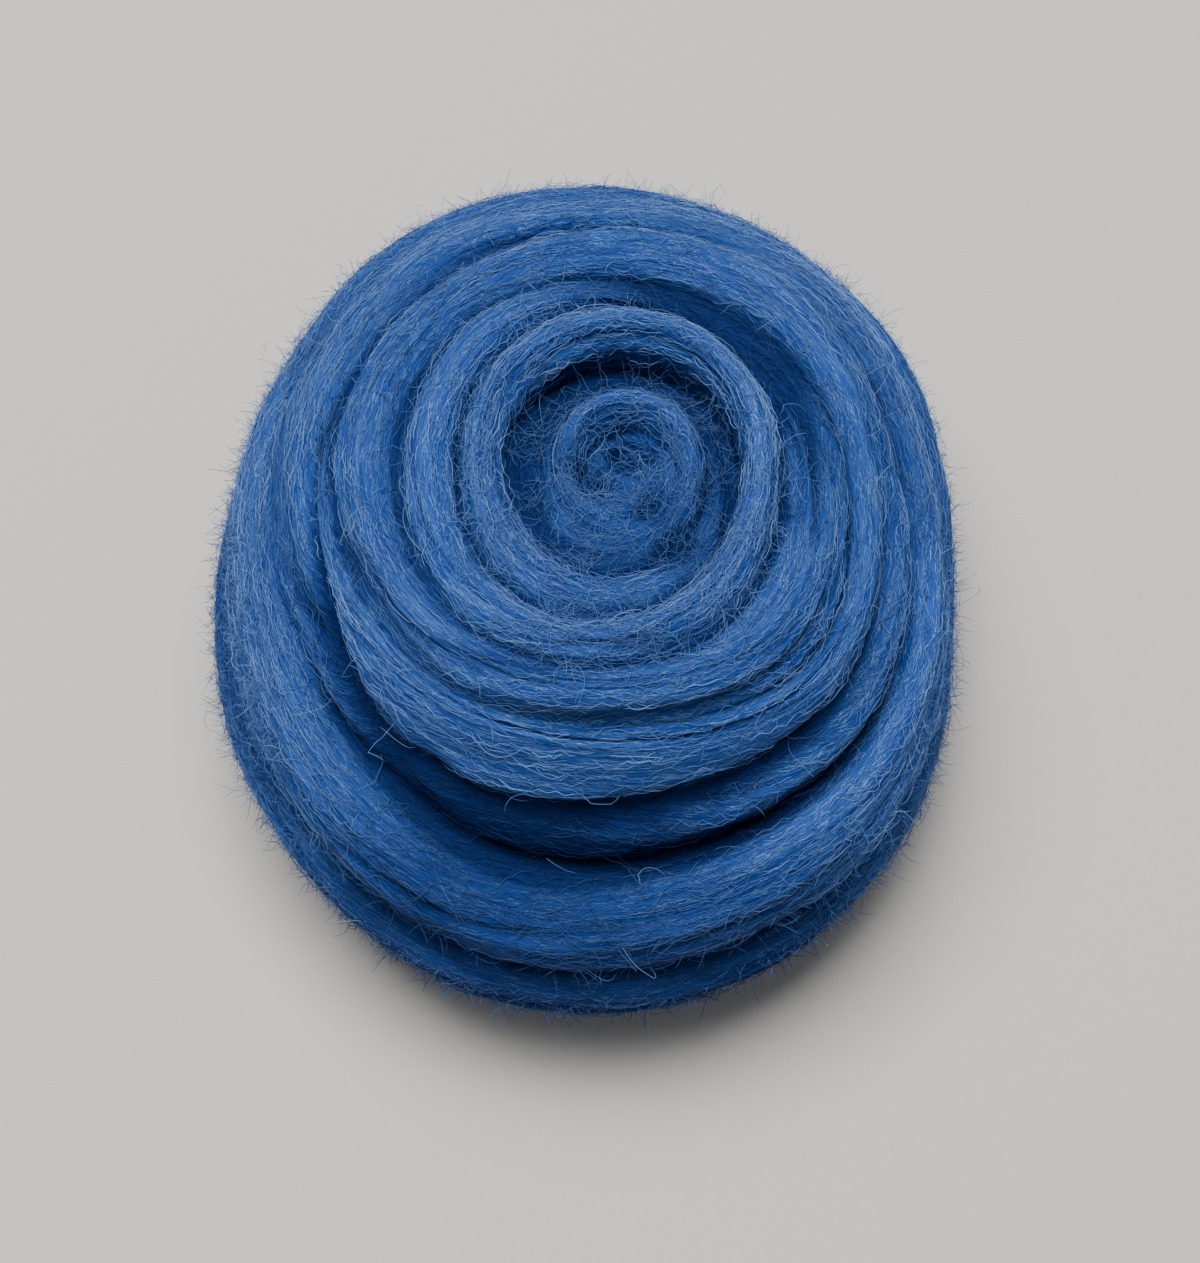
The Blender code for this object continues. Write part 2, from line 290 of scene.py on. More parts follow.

# The layers of fibres drawn on the skin, from the lowest to the top one, in millimetres. A fibre is
# about 0.02 mm thick, too fine to show, so each line stands for a few fibres that lie together.
#   turn    the angle at which a layer's fibres cross the strand, in degrees
#   apart   how far apart the fibres lie
#   thick   how thick a line is, as a share of that
#   long    how long a stretch of fibre shows before it dives under the others
#   cover   the share of its length over which a fibre shows
#   pale    how pale the layer's fibres are, from the wool's main colour to the palest, which
#           paints shade on the lower layers and light on the top ones
Layer = namedtuple("Layer", "turn apart thick long cover pale")
LAYERS = (
    Layer(1, apart=0.20, thick=0.62, long=12.0, cover=0.60, pale=0.05),
    Layer(-4, apart=0.23, thick=0.56, long=8.0, cover=0.52, pale=0.30),
    Layer(5, apart=0.26, thick=0.50, long=6.0, cover=0.46, pale=0.50),
    Layer(-9, apart=0.32, thick=0.40, long=5.0, cover=0.38, pale=0.70),
    Layer(12, apart=0.44, thick=0.30, long=4.0, cover=0.30, pale=0.85),
)
# The crimp: the length of a wave, the width over which fibres wave together, and their swing.
CRIMP_LONG = 1.8
CRIMP_WIDE = 1.4
CRIMP_SWING = 0.50
# Bundles of fibres that lie higher or lower together: their size, and the part of the random
# pattern that makes them.
BUNDLE_LONG = 16.0
BUNDLE_WIDE = 0.9
BUNDLE_RANGE = (0.32, 0.68)
# Painted light and shade on the bundles: how far a high bundle is from the deep colour to the
# main one, and how much paler its fibres are.
BUNDLE_GROUND = 0.6
BUNDLE_PALER = 0.35
# How much single fibres differ in tone, and how the top of a line rounds off at its sides, in
# height and in colour, which paints shade on a round fibre's sides.
TONE_SPREAD = 0.7
LINE_ROUND = 0.7
# How far a layer's cover moves the limit on the random pattern that hides its fibres, and how
# softly they come and go there.
COVER_REACH = 0.3
COVER_SOFT = 0.1
# Shifts that keep the layers' patterns, and the rows' in a layer, apart from each other.
LAYER_SHIFT = (17.0, 5.0)
ROW_SHIFT = 97.0
# The height of the drawn relief, and the share of it that one line has.
DRAWN_HIGH = 0.22
LINE_HIGH = 0.5

# The single fibres, in millimetres and radians. A pair is the least and the most of a random range,
# a mean and its spread, or the two shape numbers of a beta distribution, as its comment says. Every
# fibre has so many knots, and each kind has its own random seed. Thickness is a share of the drawn
# radius. A shade goes from 0, the deep colour, to 1, the palest one.
LAID = SimpleNamespace(
    seed=100,
    knots=8,
    long=(4.0, 8.5),  # range of the length
    crimp=(2.3, 0.4),  # mean length of a crimp wave, and its spread
    swing=(0.08, 0.24),  # range of the crimp's swing to the sides
    bob=0.08,  # the crimp's swing up and down
    slope=0.09,  # spread of the angle to the strand
    sway=0.35,  # spread of a slow bend to one side
    sway_wave=1.2,  # length of that bend, in lengths of the fibre
    held=0.97,  # how far out it stays on the strand, where the groove is 1
    shortest_step=0.05,  # a step along the strand counts as no shorter than this
    lift=0.05,  # how far all of it lies off the skin
    loose=0.24,  # mean of how much more its middle does
    tuck=0.3,  # how far its ends go under
    tuck_power=4,  # how late they do, as a power of the distance from the middle
    freed=0.10,  # the share of the fibres that have one end free
    free_lift=(0.3, 1.0),  # range of how far that end stands up
    highest=2.2,  # the most that any of it lies off the skin
    thick=(0.7, 1.25),
    shade=(0.3, 0.65),  # the least, and how much more it can be
    shade_beta=(1.7, 2.0),
    dimmed=0.4,  # the share of its paleness that a sunk fibre loses, as painted shade
)
HAIR = SimpleNamespace(
    seed=200,
    knots=5,
    lowest=3.0,
    lean=(radians(3), radians(52)),  # off the skin: the least, and how much more when fully raised
    lean_lost=0.75,  # the share of that which sunk hairs lose
    sideways=0.14,  # spread of the lean to the sides
    long=(2.3, 5.0),  # the least, and how much more it can be
    long_beta=(1.5, 2.2),
    raised_shorter=0.6,
    combed_shorter=0.5,
    curl=(0.15, 0.5),
    combed_straighter=0.7,
    root=0.15,  # how deep it starts in the skin
    thick=(0.75, 1.2),
    shade=(0.15, 0.7),
    low_shade=0.5,  # painted shade: the share of its paleness that a hair on the floor keeps
    full_shade_from=45,  # the height from which a hair keeps all of it
)
# The lips of the upper turns are combed smooth: how many turns that is, how far up the skin faces
# where it starts and is full, and the share of the hairs there that is left out or laid flat.
UPPER_TURNS = 6.0
LIP_LEVEL = (0.85, 0.45)
COMBED_SHARE = 0.8
# The halo stands on the widest turn, where it faces sideways.
HALO = SimpleNamespace(
    seed=250,
    turns=(6.4, 7.7),  # where that turn starts and ends
    level=0.55,  # the most that the skin may face up or down
    tries=5,  # how many places are tried for each hair
    raised=(0.5, 1.4),  # range, where 1 is the most of other hairs
    thin=0.8,  # their thickness as a share of other hairs'
    sunk_share=0.3,  # its hairs catch the light, so they take on little of the painted shade beneath
)
# Fibres draped over the turns. A pair here is the value in the curl and the one outside it, apart
# from the ranges.
DRAPED = SimpleNamespace(
    seed=300,
    knots=8,
    in_curl=0.52,  # the share of them that lies in the curl
    curl_until=3.3,  # the turn at which the curl ends for them
    outside_from=3.0,  # the turn from which the others lie
    lowest=30.0,
    turned=(1.1, 0.26),  # spread of the angle to the strand
    bend=0.15,  # spread of the bend for each millimetre
    long_in_curl=(3.0, 7.0),  # range
    long_outside=(4.0, 9.0),  # range
    kink=(0.2, 0.55),  # range of the crimp's angle
    kink_share=(1.25, 0.7),
    kink_wave=2.4,
    lift=(0.05, 0.5),  # range of how far its middle lies off the wool
    tuck=0.15,  # how far its ends go under
    tuck_power=4,
    thick=(0.6, 1.0),
    shade=(0.15, 0.85),
    shade_share=(1.0, 0.75),
    # the share of the painted shade beneath that it takes on
    sunk_share=(0.5, 0.7),
)
# The heights that they are draped over. Then they are pulled tight, so many times, to a small sag.
DRAPE_OVER = dict(cell=0.5, softened=8, only_fill=True)
TIGHTENINGS = 6
SAG = 0.05
# The middle of the curl, where some of them start at random: its place, its radius and their share.
MIDDLE = (4.6, 1.6)
MIDDLE_RADIUS = 7.0
MIDDLE_SHARE = 0.06
# A draped fibre that falls more than this would hang over an edge, so it is left out.
STEEPEST_DRAPE = 3.5
STRAY = SimpleNamespace(
    seed=400,
    knots=21,
    lowest=8.0,
    askew=0.7,  # spread of its direction around straight out
    long=(6, 15),
    curl=(0.15, 0.55),
    root=0.3,
    reach=6.0,  # the farthest that any of it stands off
    thick=(0.7, 1.05),
    shade=(0.3, 0.8),
)
# How much a wandering fibre's bend changes at each knot, as a share of its curl.
WANDER = 0.5
# No fibre starts lower than the first height, unless its kind says so, or goes below the second.
START_ABOVE = 1.5
FLOOR_CLEARANCE = 0.15
# Skin that bends less than this from face to face is shaded smooth.
SMOOTH_BELOW = radians(75)

# The stage, in metres: the floor, the window's place, size and power in watts, where it points, and
# the room's own light.
FLOOR_SIZE = 3.0
FLOOR_COLOUR = "#CECBC4"
WINDOW_AT = (-0.07, 0.09, 0.89)
WINDOW_SIZE = 0.50
WINDOW_POWER = 12.3
WINDOW_AIM = (0, 0, 0.04)
ROOM_COLOUR = "#E6E9EE"
ROOM_STRENGTH = 0.27
# The camera, with sizes in millimetres: how far it looks down, how far off it is, what it looks
# at, and how much of the scene fits its long side there.
CAMERA_ELEVATION = radians(68.0)
CAMERA_DISTANCE = 420.0
CAMERA_TARGET = (1.9, -8.8, 38.0)
LONG_SIDE_AT_TARGET = 170.7


def linear(hex_colour):
    """Turns an sRGB hex colour into Blender's linear red, green and blue, with alpha 1."""
    values = [int(hex_colour[i:i + 2], 16) / 255 for i in (1, 3, 5)]
    return [v / 12.92 if v <= 0.04045 else ((v + 0.055) / 1.055) ** 2.4 for v in values] + [1.0]


# ---------------------------------------------------------------- the strand's path and skin


def unit(vectors):
    return vectors / np.linalg.norm(vectors, axis=-1, keepdims=True)


def ease(share):
    """Turns a share that grows evenly from 0 to 1 into one that starts and ends gently."""
    return share * share * (3 - 2 * share)


def progress(value, start, end):
    """How far a value has come from the start to the end, from 0 to 1, gently."""
    return ease(np.clip((value - start) / (end - start), 0, 1))


def through(values, at):
    """A smooth curve through evenly spaced values (Catmull-Rom), read at the positions given."""
    at = np.asarray(at, float)
    last = len(values) - 1
    low = np.clip(np.floor(at).astype(int), 0, last - 1)
    f = at - low
    before, here = values[np.clip(low - 1, 0, last)], values[low]
    there, after = values[low + 1], values[np.clip(low + 2, 0, last)]
    bend = 2 * before - 5 * here + 4 * there - after
    turn = 3 * (here - there) + after - before
    return here + 0.5 * f * (there - before + f * (bend + f * turn))


def column(name):
    """One column of the table as one row of quarter-turn values along the whole strand."""
    return np.array([value for turn in TURNS for value in getattr(turn, name)], float)


def dented(name, s):
    """How far the dents change one measure at s: each one swells and fades smoothly."""
    near = [np.clip(1 - np.abs(s - dent.at) / dent.spread, 0, 1) for dent in DENTS]
    return sum(getattr(dent, name) * ease(n) for dent, n in zip(DENTS, near))


def swayed(measure, s):
    """The random unevenness of one measure at s, on a strand of full width."""
    total = 0.0
    for sway in SWAYS:
        if sway.measure == measure:
            count = int(QUARTERS * len(TURNS) / sway.long) + QUARTERS
            knots = np.random.default_rng(sway.seed).uniform(-1, 1, count)
            total = total + sway.high * through(knots, s / sway.long)
    return total


def patches(seed, along, across, long, wide):
    """Smooth random patches between -1 and 1, each about so long and so wide, in millimetres."""
    rows, columns = 256, 64
    x, y = along / long, across / wide
    i, j = np.floor(x).astype(int), np.floor(y).astype(int)
    fx, fy = ease(x - i), ease(y - j)
    table = np.random.default_rng(seed).uniform(-1, 1, (rows, columns))
    here, ahead = table[i % rows, j % columns], table[(i + 1) % rows, j % columns]
    beside, beyond = table[i % rows, (j + 1) % columns], table[(i + 1) % rows, (j + 1) % columns]
    return (here * (1 - fx) + ahead * fx) * (1 - fy) + (beside * (1 - fx) + beyond * fx) * fy


class Winding:
    """The strand's path. A position s counts quarter turns from the east of the first table row."""

    def __init__(self):
        reach = column("reach")
        east, south, west, north = reach.reshape(-1, QUARTERS).T
        self.middle_x = (east - west) / 2
        self.middle_y = (north - south) / 2
        self.height = column("height")
        self.groove = column("groove")
        quarter = np.arange(len(reach))
        x, y = self.middle(quarter)
        outward = np.stack([-x, y, x, -y])
        self.radius = reach + outward[quarter % QUARTERS, quarter]
        corners = column("corners")
        self.bulge = np.stack([np.zeros_like(corners), corners], 1).reshape(-1)
        self.size = np.zeros(len(quarter))
        inner = self.crest(np.maximum(quarter - QUARTERS, 0))
        outer = self.crest(np.minimum(quarter + QUARTERS, len(quarter) - 1))
        self.size = np.linalg.norm(outer - inner, axis=-1) / 2 / FULL_WIDTH

    def uneven(self, measure, s):
        """How far dents and natural unevenness change one measure at s."""
        return dented(measure, s) + swayed(measure, s) * self.share_of_full(s)

    def share_of_full(self, s):
        return np.clip(through(self.size, s), 0, UNEVEN_LIMIT)

    def middle(self, s):
        """The middle of the turn at s. It drifts from the curl's middle to the ball's axis."""
        turn = np.clip((s - MID_TURN) / QUARTERS, 0, len(TURNS) - 1)
        return through(self.middle_x, turn), through(self.middle_y, turn)

    def outward(self, s):
        angle = -pi / 2 * np.asarray(s, float)
        return np.stack([np.cos(angle), np.sin(angle), np.zeros_like(angle)], -1)

    def crest(self, s):
        x, y = self.middle(s)
        radius = through(self.radius, s) + through(self.bulge, 2 * np.asarray(s, float))
        radius = radius + self.uneven("out", s)
        centre = np.stack([x, y, through(self.height, s) + self.uneven("up", s)], -1)
        return centre + radius[..., None] * self.outward(s)

    def groove_outside(self, s):
        """The bottom of the groove between the strand at s and the strand one turn on."""
        between = (self.crest(s) + self.crest(s + QUARTERS)) / 2
        tilt = progress(between[..., 2], GROOVES_IN_BELOW, GROOVES_DOWN_ABOVE) * pi / 2
        sink = -np.cos(tilt)[..., None] * self.outward(s) - np.sin(tilt)[..., None] * UP
        across = unit(self.crest(s + QUARTERS) - self.crest(s))
        depth = through(self.groove, s) + self.uneven("groove_deeper", s)
        return between + self.uneven("groove_out", s)[..., None] * across + depth[..., None] * sink

    def square_to_neighbours(self, s):
        """The direction square to the line from the turn inside s to the turn outside."""
        step = self.crest(s + QUARTERS) - self.crest(s - QUARTERS)
        out = self.outward(s)
        run = (step * out).sum(-1)
        return unit(run[..., None] * UP - step[..., 2:] * out)

    def surface(self, s, across):
        """Points of the strand's outside. across is -1 at the inner groove and 1 at the outer."""
        crest = self.crest(s)
        inner, outer = self.groove_outside(s - QUARTERS), self.groove_outside(s)
        between_flanks = unit(crest - inner) + unit(crest - outer)
        swelling = unit(between_flanks + SQUARE_SHARE * self.square_to_neighbours(s))
        to_edge = np.where((across < 0)[..., None], inner, outer) - crest
        drop = (to_edge * swelling).sum(-1, keepdims=True) * swelling
        w = np.abs(across)[..., None]
        fall = (1 - np.sqrt(1 - (ROUNDNESS * w) ** 2)) / (1 - np.sqrt(1 - ROUNDNESS**2))
        return crest + w * (to_edge - drop) + fall * drop


def facing(points):
    """The outward normals of a grid of points whose rows follow the strand."""
    along = np.gradient(points, axis=0)
    across = np.gradient(points, axis=1)
    return unit(np.cross(along, across))


def dips(x, y):
    """How far the dips press the curl down at a place, as a negative height."""
    total = 0.0
    for dip in DIPS:
        away = (x - dip.east)**2 + (y - dip.north)**2
        total = total + dip.high * np.exp(-away / dip.radius**2)
    return total


class HeightMap:
    """The height of the ball's upper side over a square grid, evened out again and again."""

    def __init__(self, made, cell, softened, only_fill=False):
        self.cell = cell
        steps = np.arange(0, made.steps, READ_STEP)[:, None]
        ranks = np.linspace(-1, 1, READ_RANKS)[None, :]
        steps, ranks = np.broadcast_arrays(steps, ranks)
        outside = made.read(made.points, steps, ranks).reshape(-1, 3)
        loop = made.points[:STEPS_PER_TURN + 1, 0]
        shares = np.linspace(0, 1, CAP_RINGS + 3)[:, None, None]
        inside = loop * shares + loop.mean(0) * (1 - shares)
        top = np.concatenate([outside, inside.reshape(-1, 3)])
        self.low = top[:, :2].min(0) - 2 * cell
        size = np.ceil((top[:, :2].max(0) - self.low) / cell).astype(int) + 3
        self.height = np.zeros(size)
        at = np.round((top[:, :2] - self.low) / cell).astype(int)
        np.maximum.at(self.height, (at[:, 0], at[:, 1]), top[:, 2])
        for _ in range(softened):
            h = np.pad(self.height, 1, mode="edge")
            mean = (h[:-2, 1:-1] + h[2:, 1:-1] + h[1:-1, :-2] + h[1:-1, 2:] + 4 * self.height) / 8
            self.height = np.maximum(mean, self.height) if only_fill else mean

    def read(self, x, y):
        u = np.clip((x - self.low[0]) / self.cell, 0, self.height.shape[0] - 1.001)
        v = np.clip((y - self.low[1]) / self.cell, 0, self.height.shape[1] - 1.001)
        i, j = u.astype(int), v.astype(int)
        fu, fv = u - i, v - j
        h = self.height
        near = h[i, j] * (1 - fv) + h[i, j + 1] * fv
        return near * (1 - fu) + (h[i + 1, j] * (1 - fv) + h[i + 1, j + 1] * fv) * fu


class Skin:
    """The strand's outside as a grid of points, a row for each step along and a column across."""

    def __init__(self):
        self.steps = (LAST_TURN + 1 - FIRST_TURN) * STEPS_PER_TURN
        s = QUARTERS * (FIRST_TURN + np.arange(self.steps + 1) / STEPS_PER_TURN)
        self.s, self.w = np.meshgrid(s, np.linspace(-1, 1, STEPS_ACROSS + 1), indexing="ij")
        plain = Winding().surface(self.s, self.w)
        middle = STEPS_ACROSS // 2
        self.along = self.lengths(plain[:, middle], 0)
        widths = self.lengths(plain, 1)
        self.across = widths - widths[:, middle, None]
        self.width = np.maximum(widths[:, -1], NARROWEST)
        from_edge = np.minimum(widths, widths[:, -1:] - widths)
        outward = facing(plain)
        below = ((plain[:, middle, None] - plain) * outward[:, middle, None]).sum(-1)
        edge_below = np.where(self.w < 0, below[:, :1], below[:, -1:])
        edge = np.exp(-from_edge / EDGE_FADE) * np.clip(edge_below / EDGE_DEEP, 0, 1)
        high, folded = self.relief()
        creased = self.creased()
        raised = (high - creased) * (1 - np.abs(self.w) ** RELIEF_POWER)
        self.points = plain + raised[..., None] * outward
        x, y, z = (self.points[..., axis] for axis in range(3))
        dipped = dips(x, y) * (z > DIPS_ABOVE)
        z += dipped
        self.normals = facing(self.points)
        # Painted shade: how deeply the wool is coloured as if in shade, from the causes above, with
        # the wool's own random streaks added.
        self.hollow = EDGE_SHARE * edge + FOLDED_SHARE * folded
        self.hollow += CREASED_SHARE * np.maximum(creased, 0)
        self.hollow += GROOVE_SHARE * progress(below, *GROOVE_DEEP) + self.sunk()
        self.hollow -= PRESSED_SHARE * dented("up", self.s)
        shelf = progress(z, *SHELF_BELOW) * progress(-y, *SHELF_SOUTH)
        self.hollow += np.maximum(SHADED_SHARE * progress(z, *SHADED_BELOW), SHELF_SHARE * shelf)
        self.hollow += BOWL_SHARE * progress(self.s, *BOWL_OUT_TO) - DIP_SHARE * dipped
        streaks = patches(along=self.along[:, None], across=self.across, **STREAKS)
        self.hollow += STREAK_SHARE * np.maximum(streaks, 0)
        self.hollow = np.clip(self.hollow, 0, 1)

    def sunk(self):
        """How much painted shade each point of the ball's upper side gets, by how far it lies below
        what is around it.
        """
        x, y, z = (self.points[..., axis] for axis in range(3))
        below = HeightMap(self, **AROUND).read(x, y) - z
        return SUNK_FULL * progress(z, *UPPER_SIDE) * progress(below, *SUNK_DEEP)

    def lengths(self, points, axis):
        """Running length along one axis of a grid of points, from 0."""
        steps = np.linalg.norm(np.diff(points, axis=axis), axis=-1)
        start = np.zeros_like(np.take(steps, [0], axis=axis))
        return np.concatenate([start, np.cumsum(steps, axis=axis)], axis=axis)

    def relief(self):
        """The height of the random ribs and folds, and how far each point is down in a fold."""
        high, folded = 0.0, 0.0
        for layer in RELIEF:
            room = progress(self.width, 0, ROOM_NEEDED * layer.wide)[:, None]
            across = self.across + layer.drift * self.along[:, None]
            swing = patches(layer.seed, self.along[:, None], across, layer.long, layer.wide)
            if layer.kind == "rib":
                high = high + room * layer.high * swing
                continue
            there = patches(layer.seed + FOLD_THINNING["seed_on"], self.along[:, None], across,
                            layer.long, FOLD_THINNING["wider"] * layer.wide)
            there = np.clip(FOLD_THINNING["level"] + FOLD_THINNING["swing"] * there, 0, 1)
            valley = np.exp(-(swing / FOLD_SHARE) ** 2) * there
            high = high - room * layer.high * valley
            folded = folded + room * layer.high * valley
        return high, folded

    def creased(self):
        """How deep the named creases are at each point of the grid."""
        deep = np.zeros_like(self.s)
        names = [turn.name for turn in TURNS]
        for crease in CREASES:
            along = self.s - QUARTERS * names.index(crease.turn)
            share = (along - crease.start) / (crease.end - crease.start)
            start, middle, end = crease.across
            line = start * (1 - share) * (1 - 2 * share) + end * share * (2 * share - 1)
            line = line + 4 * middle * share * (1 - share)
            away = (self.w - line) * self.width[:, None] / 2 / crease.wide
            fade = np.sin(pi * np.clip(share, 0, 1)) ** CREASE_ENDS
            deep = deep + crease.deep * fade * np.exp(-away * away)
        return deep

    def read(self, values, step, across):
        """Values of the grid at fractional steps along and positions across, -1 to 1."""
        x = np.clip(step, 0, self.steps - TINY)
        y = np.clip((across + 1) / 2 * STEPS_ACROSS, 0, STEPS_ACROSS - TINY)
        i, j = x.astype(int), y.astype(int)
        fx, fy = (x - i)[..., None], (y - j)[..., None]
        if values.ndim == 2:
            values = values[..., None]
        near = values[i, j] * (1 - fy) + values[i, j + 1] * fy
        far = values[i + 1, j] * (1 - fy) + values[i + 1, j + 1] * fy
        return near * (1 - fx) + far * fx

    def scatter(self, rng, count, lowest=START_ABOVE, first_turn=0, last_turn=len(TURNS)):
        """Random places on the skin, evenly spread by area, above a lowest height."""
        p = self.points
        a, b = p[1:, 1:] - p[:-1, :-1], p[1:, :-1] - p[:-1, 1:]
        area = np.linalg.norm(np.cross(a, b), axis=-1) / 2
        turn = np.arange(self.steps)[:, None] / STEPS_PER_TURN
        open_to = (p[:-1, :-1, 2] > lowest) & (turn >= first_turn) & (turn < last_turn)
        share = np.cumsum((area * open_to).ravel())
        cell = np.searchsorted(share, rng.uniform(0, share[-1], count))
        step = cell // STEPS_ACROSS + rng.uniform(0, 1, count)
        across = (cell % STEPS_ACROSS + rng.uniform(0, 1, count)) / STEPS_ACROSS * 2 - 1
        return step, across


SKIN = {}


def skin():
    """The skin, made once and shared by the pieces that lie on it."""
    if "made" not in SKIN:
        SKIN["made"] = Skin()
    return SKIN["made"]


# ---------------------------------------------------------------- making objects


def deselect_all():
    if bpy.context.object and bpy.context.object.mode != "OBJECT":
        bpy.ops.object.mode_set(mode="OBJECT")
    bpy.ops.object.select_all(action="DESELECT")


def piece_done(piece, material):
    """Gives a finished piece its finish and the body it rides on, and hides the solid it stands
    for.
    """
    piece.data.materials.clear()
    piece.data.materials.append(material)
    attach(piece, "root")
    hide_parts(NODE)


def fibre_piece(name, paths, facing_way, radius, shade, hollow):
    """Joins many fibres into one mesh: closed three-sided tubes that taper to both ends."""
    count, knots = paths.shape[:2]
    paths[..., 2] = np.maximum(paths[..., 2], FLOOR_CLEARANCE)
    along = unit(np.gradient(paths, axis=1) + TINY)
    side = unit(np.cross(along, facing_way) + 1e-9)
    up = np.cross(side, along)
    taper = np.sqrt(1 - np.linspace(-1, 1, knots)[1:-1] ** 4)
    thick = (radius[:, None] * taper)[..., None]
    rings = []
    for corner in range(3):
        angle = 2 * pi * corner / 3 + pi / 2
        out = np.sin(angle) * up[:, 1:-1] + np.cos(angle) * side[:, 1:-1]
        rings.append(paths[:, 1:-1] + thick * out)
    rings = np.stack(rings, 2).reshape(count, -1, 3)
    points = np.concatenate([paths[:, :1], rings, paths[:, -1:]], 1)
    per_fibre = points.shape[1]
    last = per_fibre - 1
    faces = []
    for corner in range(3):
        following = (corner + 1) % 3
        faces.append((0, 1 + corner, 1 + following, -1))
        faces.append((last - 3 + following, last - 3 + corner, last, -1))
        for ring in range(knots - 3):
            low, high = 1 + 3 * ring, 4 + 3 * ring
            faces.append((low + corner, high + corner, high + following, low + following))
    quads = [f for f in faces if f[3] >= 0]
    triangles = [f[:3] for f in faces if f[3] < 0]
    start = np.arange(count)[:, None, None] * per_fibre
    all_faces = (np.array(quads) + start).reshape(-1, 4).tolist()
    all_faces += (np.array(triangles) + start).reshape(-1, 3).tolist()
    mesh = bpy.data.meshes.new(name)
    mesh.from_pydata((points.reshape(-1, 3) * MM).tolist(), [], all_faces)
    mesh.shade_smooth()
    # shade is each fibre's paleness, and hollow the painted shade that its material mixes in.
    for attribute, values in (("shade", shade), ("hollow", hollow)):
        written = mesh.attributes.new(attribute, "FLOAT", "POINT")
        written.data.foreach_set("value", np.repeat(values, per_fibre).astype(np.float32))
    piece = bpy.data.objects.new(name, mesh)
    bpy.context.scene.collection.objects.link(piece)
    piece_done(piece, finish_named("single_fibres_mat"))


# ---------------------------------------------------------------- finishes


def add_node(tree, kind, inputs=None, **settings):
    """Adds one shader node, with its settings and what goes into its sockets."""
    made = tree.nodes.new("ShaderNode" + kind)
    for name, value in settings.items():
        setattr(made, name, value)
    for key, value in (inputs or {}).items():
        if isinstance(value, bpy.types.NodeSocket):
            tree.links.new(value, made.inputs[key])
        else:
            made.inputs[key].default_value = value
    return made


def new_material(name):
    material = bpy.data.materials.new(name)
    material.use_nodes = True
    return material, material.node_tree.nodes["Principled BSDF"]


def wool_surface(shader, colours):
    """Wool is matt keratin, IOR 1.55. Its scales scatter light at the edges as a weak sheen."""
    shader.inputs["Roughness"].default_value = 0.7
    shader.inputs["IOR"].default_value = 1.55
    shader.inputs["Specular IOR Level"].default_value = 0.04
    shader.inputs["Sheen Weight"].default_value = 0.03
    shader.inputs["Sheen Roughness"].default_value = 0.4
    shader.inputs["Sheen Tint"].default_value = colours.pale_wool


def paint_shade_and_streaks(tree, colour, colours):
    """Paints shade on the wool's colour by its hollow attribute, with the wool's random streaks
    too.
    """
    hollow = add_node(tree, "Attribute", attribute_name="hollow").outputs["Fac"]
    share = add_node(tree, "Math", {0: hollow, 1: SUNK_SHARE}, operation="MULTIPLY").outputs[0]
    sunk = add_node(tree, "Mix", {0: share, 6: colour, 7: colours.shade_and_streak_wool}, data_type="RGBA")
    return sunk.outputs[2]


def fibre_layer(tree, strand, layer, seed):
    """One layer of crimped lines on the map, and the random tone of the fibre at each point."""
    shift = [seed * apart for apart in LAYER_SHIFT] + [0]
    turned = add_node(tree, "Mapping", {"Vector": strand, "Location": shift,
                                        "Rotation": (0, 0, radians(layer.turn))}).outputs[0]
    waves = add_node(tree, "Mapping", {"Vector": turned,
                                       "Scale": (1 / CRIMP_LONG, 1 / CRIMP_WIDE, 1)})
    crimp = add_node(tree, "TexNoise", {"Vector": waves.outputs[0], "Scale": 1.0, "Detail": 2.0,
                                        "Roughness": 0.5}, noise_dimensions="2D").outputs["Fac"]
    place = add_node(tree, "SeparateXYZ", {0: turned}).outputs
    across = add_node(tree, "Math", {0: crimp, 1: CRIMP_SWING, 2: place[1]},
                      operation="MULTIPLY_ADD").outputs[0]
    row = add_node(tree, "Math", {0: across, 1: layer.apart}, operation="DIVIDE").outputs[0]
    number = add_node(tree, "Math", {0: row}, operation="FLOOR").outputs[0]
    share = add_node(tree, "Math", {0: row}, operation="FRACT").outputs[0]
    chance = add_node(tree, "TexWhiteNoise", {"W": number}, noise_dimensions="1D")
    off_middle = add_node(tree, "Math", {0: share, 1: 0.5}, operation="SUBTRACT").outputs[0]
    off_middle = add_node(tree, "Math", {0: off_middle}, operation="ABSOLUTE").outputs[0]
    along = add_node(tree, "Math", {0: place[0], 1: 1 / layer.long},
                     operation="MULTIPLY").outputs[0]
    along = add_node(tree, "Math", {0: chance.outputs["Value"], 1: ROW_SHIFT, 2: along},
                     operation="MULTIPLY_ADD").outputs[0]
    shown = add_node(tree, "TexNoise", {"W": along, "Scale": 1.0, "Detail": 1.0},
                     noise_dimensions="1D")
    limit = 0.5 + COVER_REACH * (0.5 - layer.cover)
    shown = add_node(tree, "MapRange", {"Value": shown.outputs["Fac"], "From Min": limit,
                                        "From Max": limit + COVER_SOFT}).outputs[0]
    half_thick = layer.thick / 2
    half = add_node(tree, "Math", {0: shown, 1: half_thick}, operation="MULTIPLY").outputs[0]
    inside = add_node(tree, "Math", {0: half, 1: off_middle}, operation="SUBTRACT").outputs[0]
    line = add_node(tree, "MapRange", {"Value": inside, "From Min": 0.0,
                                       "From Max": LINE_ROUND * half_thick})
    return line.outputs[0], chance.outputs["Color"]


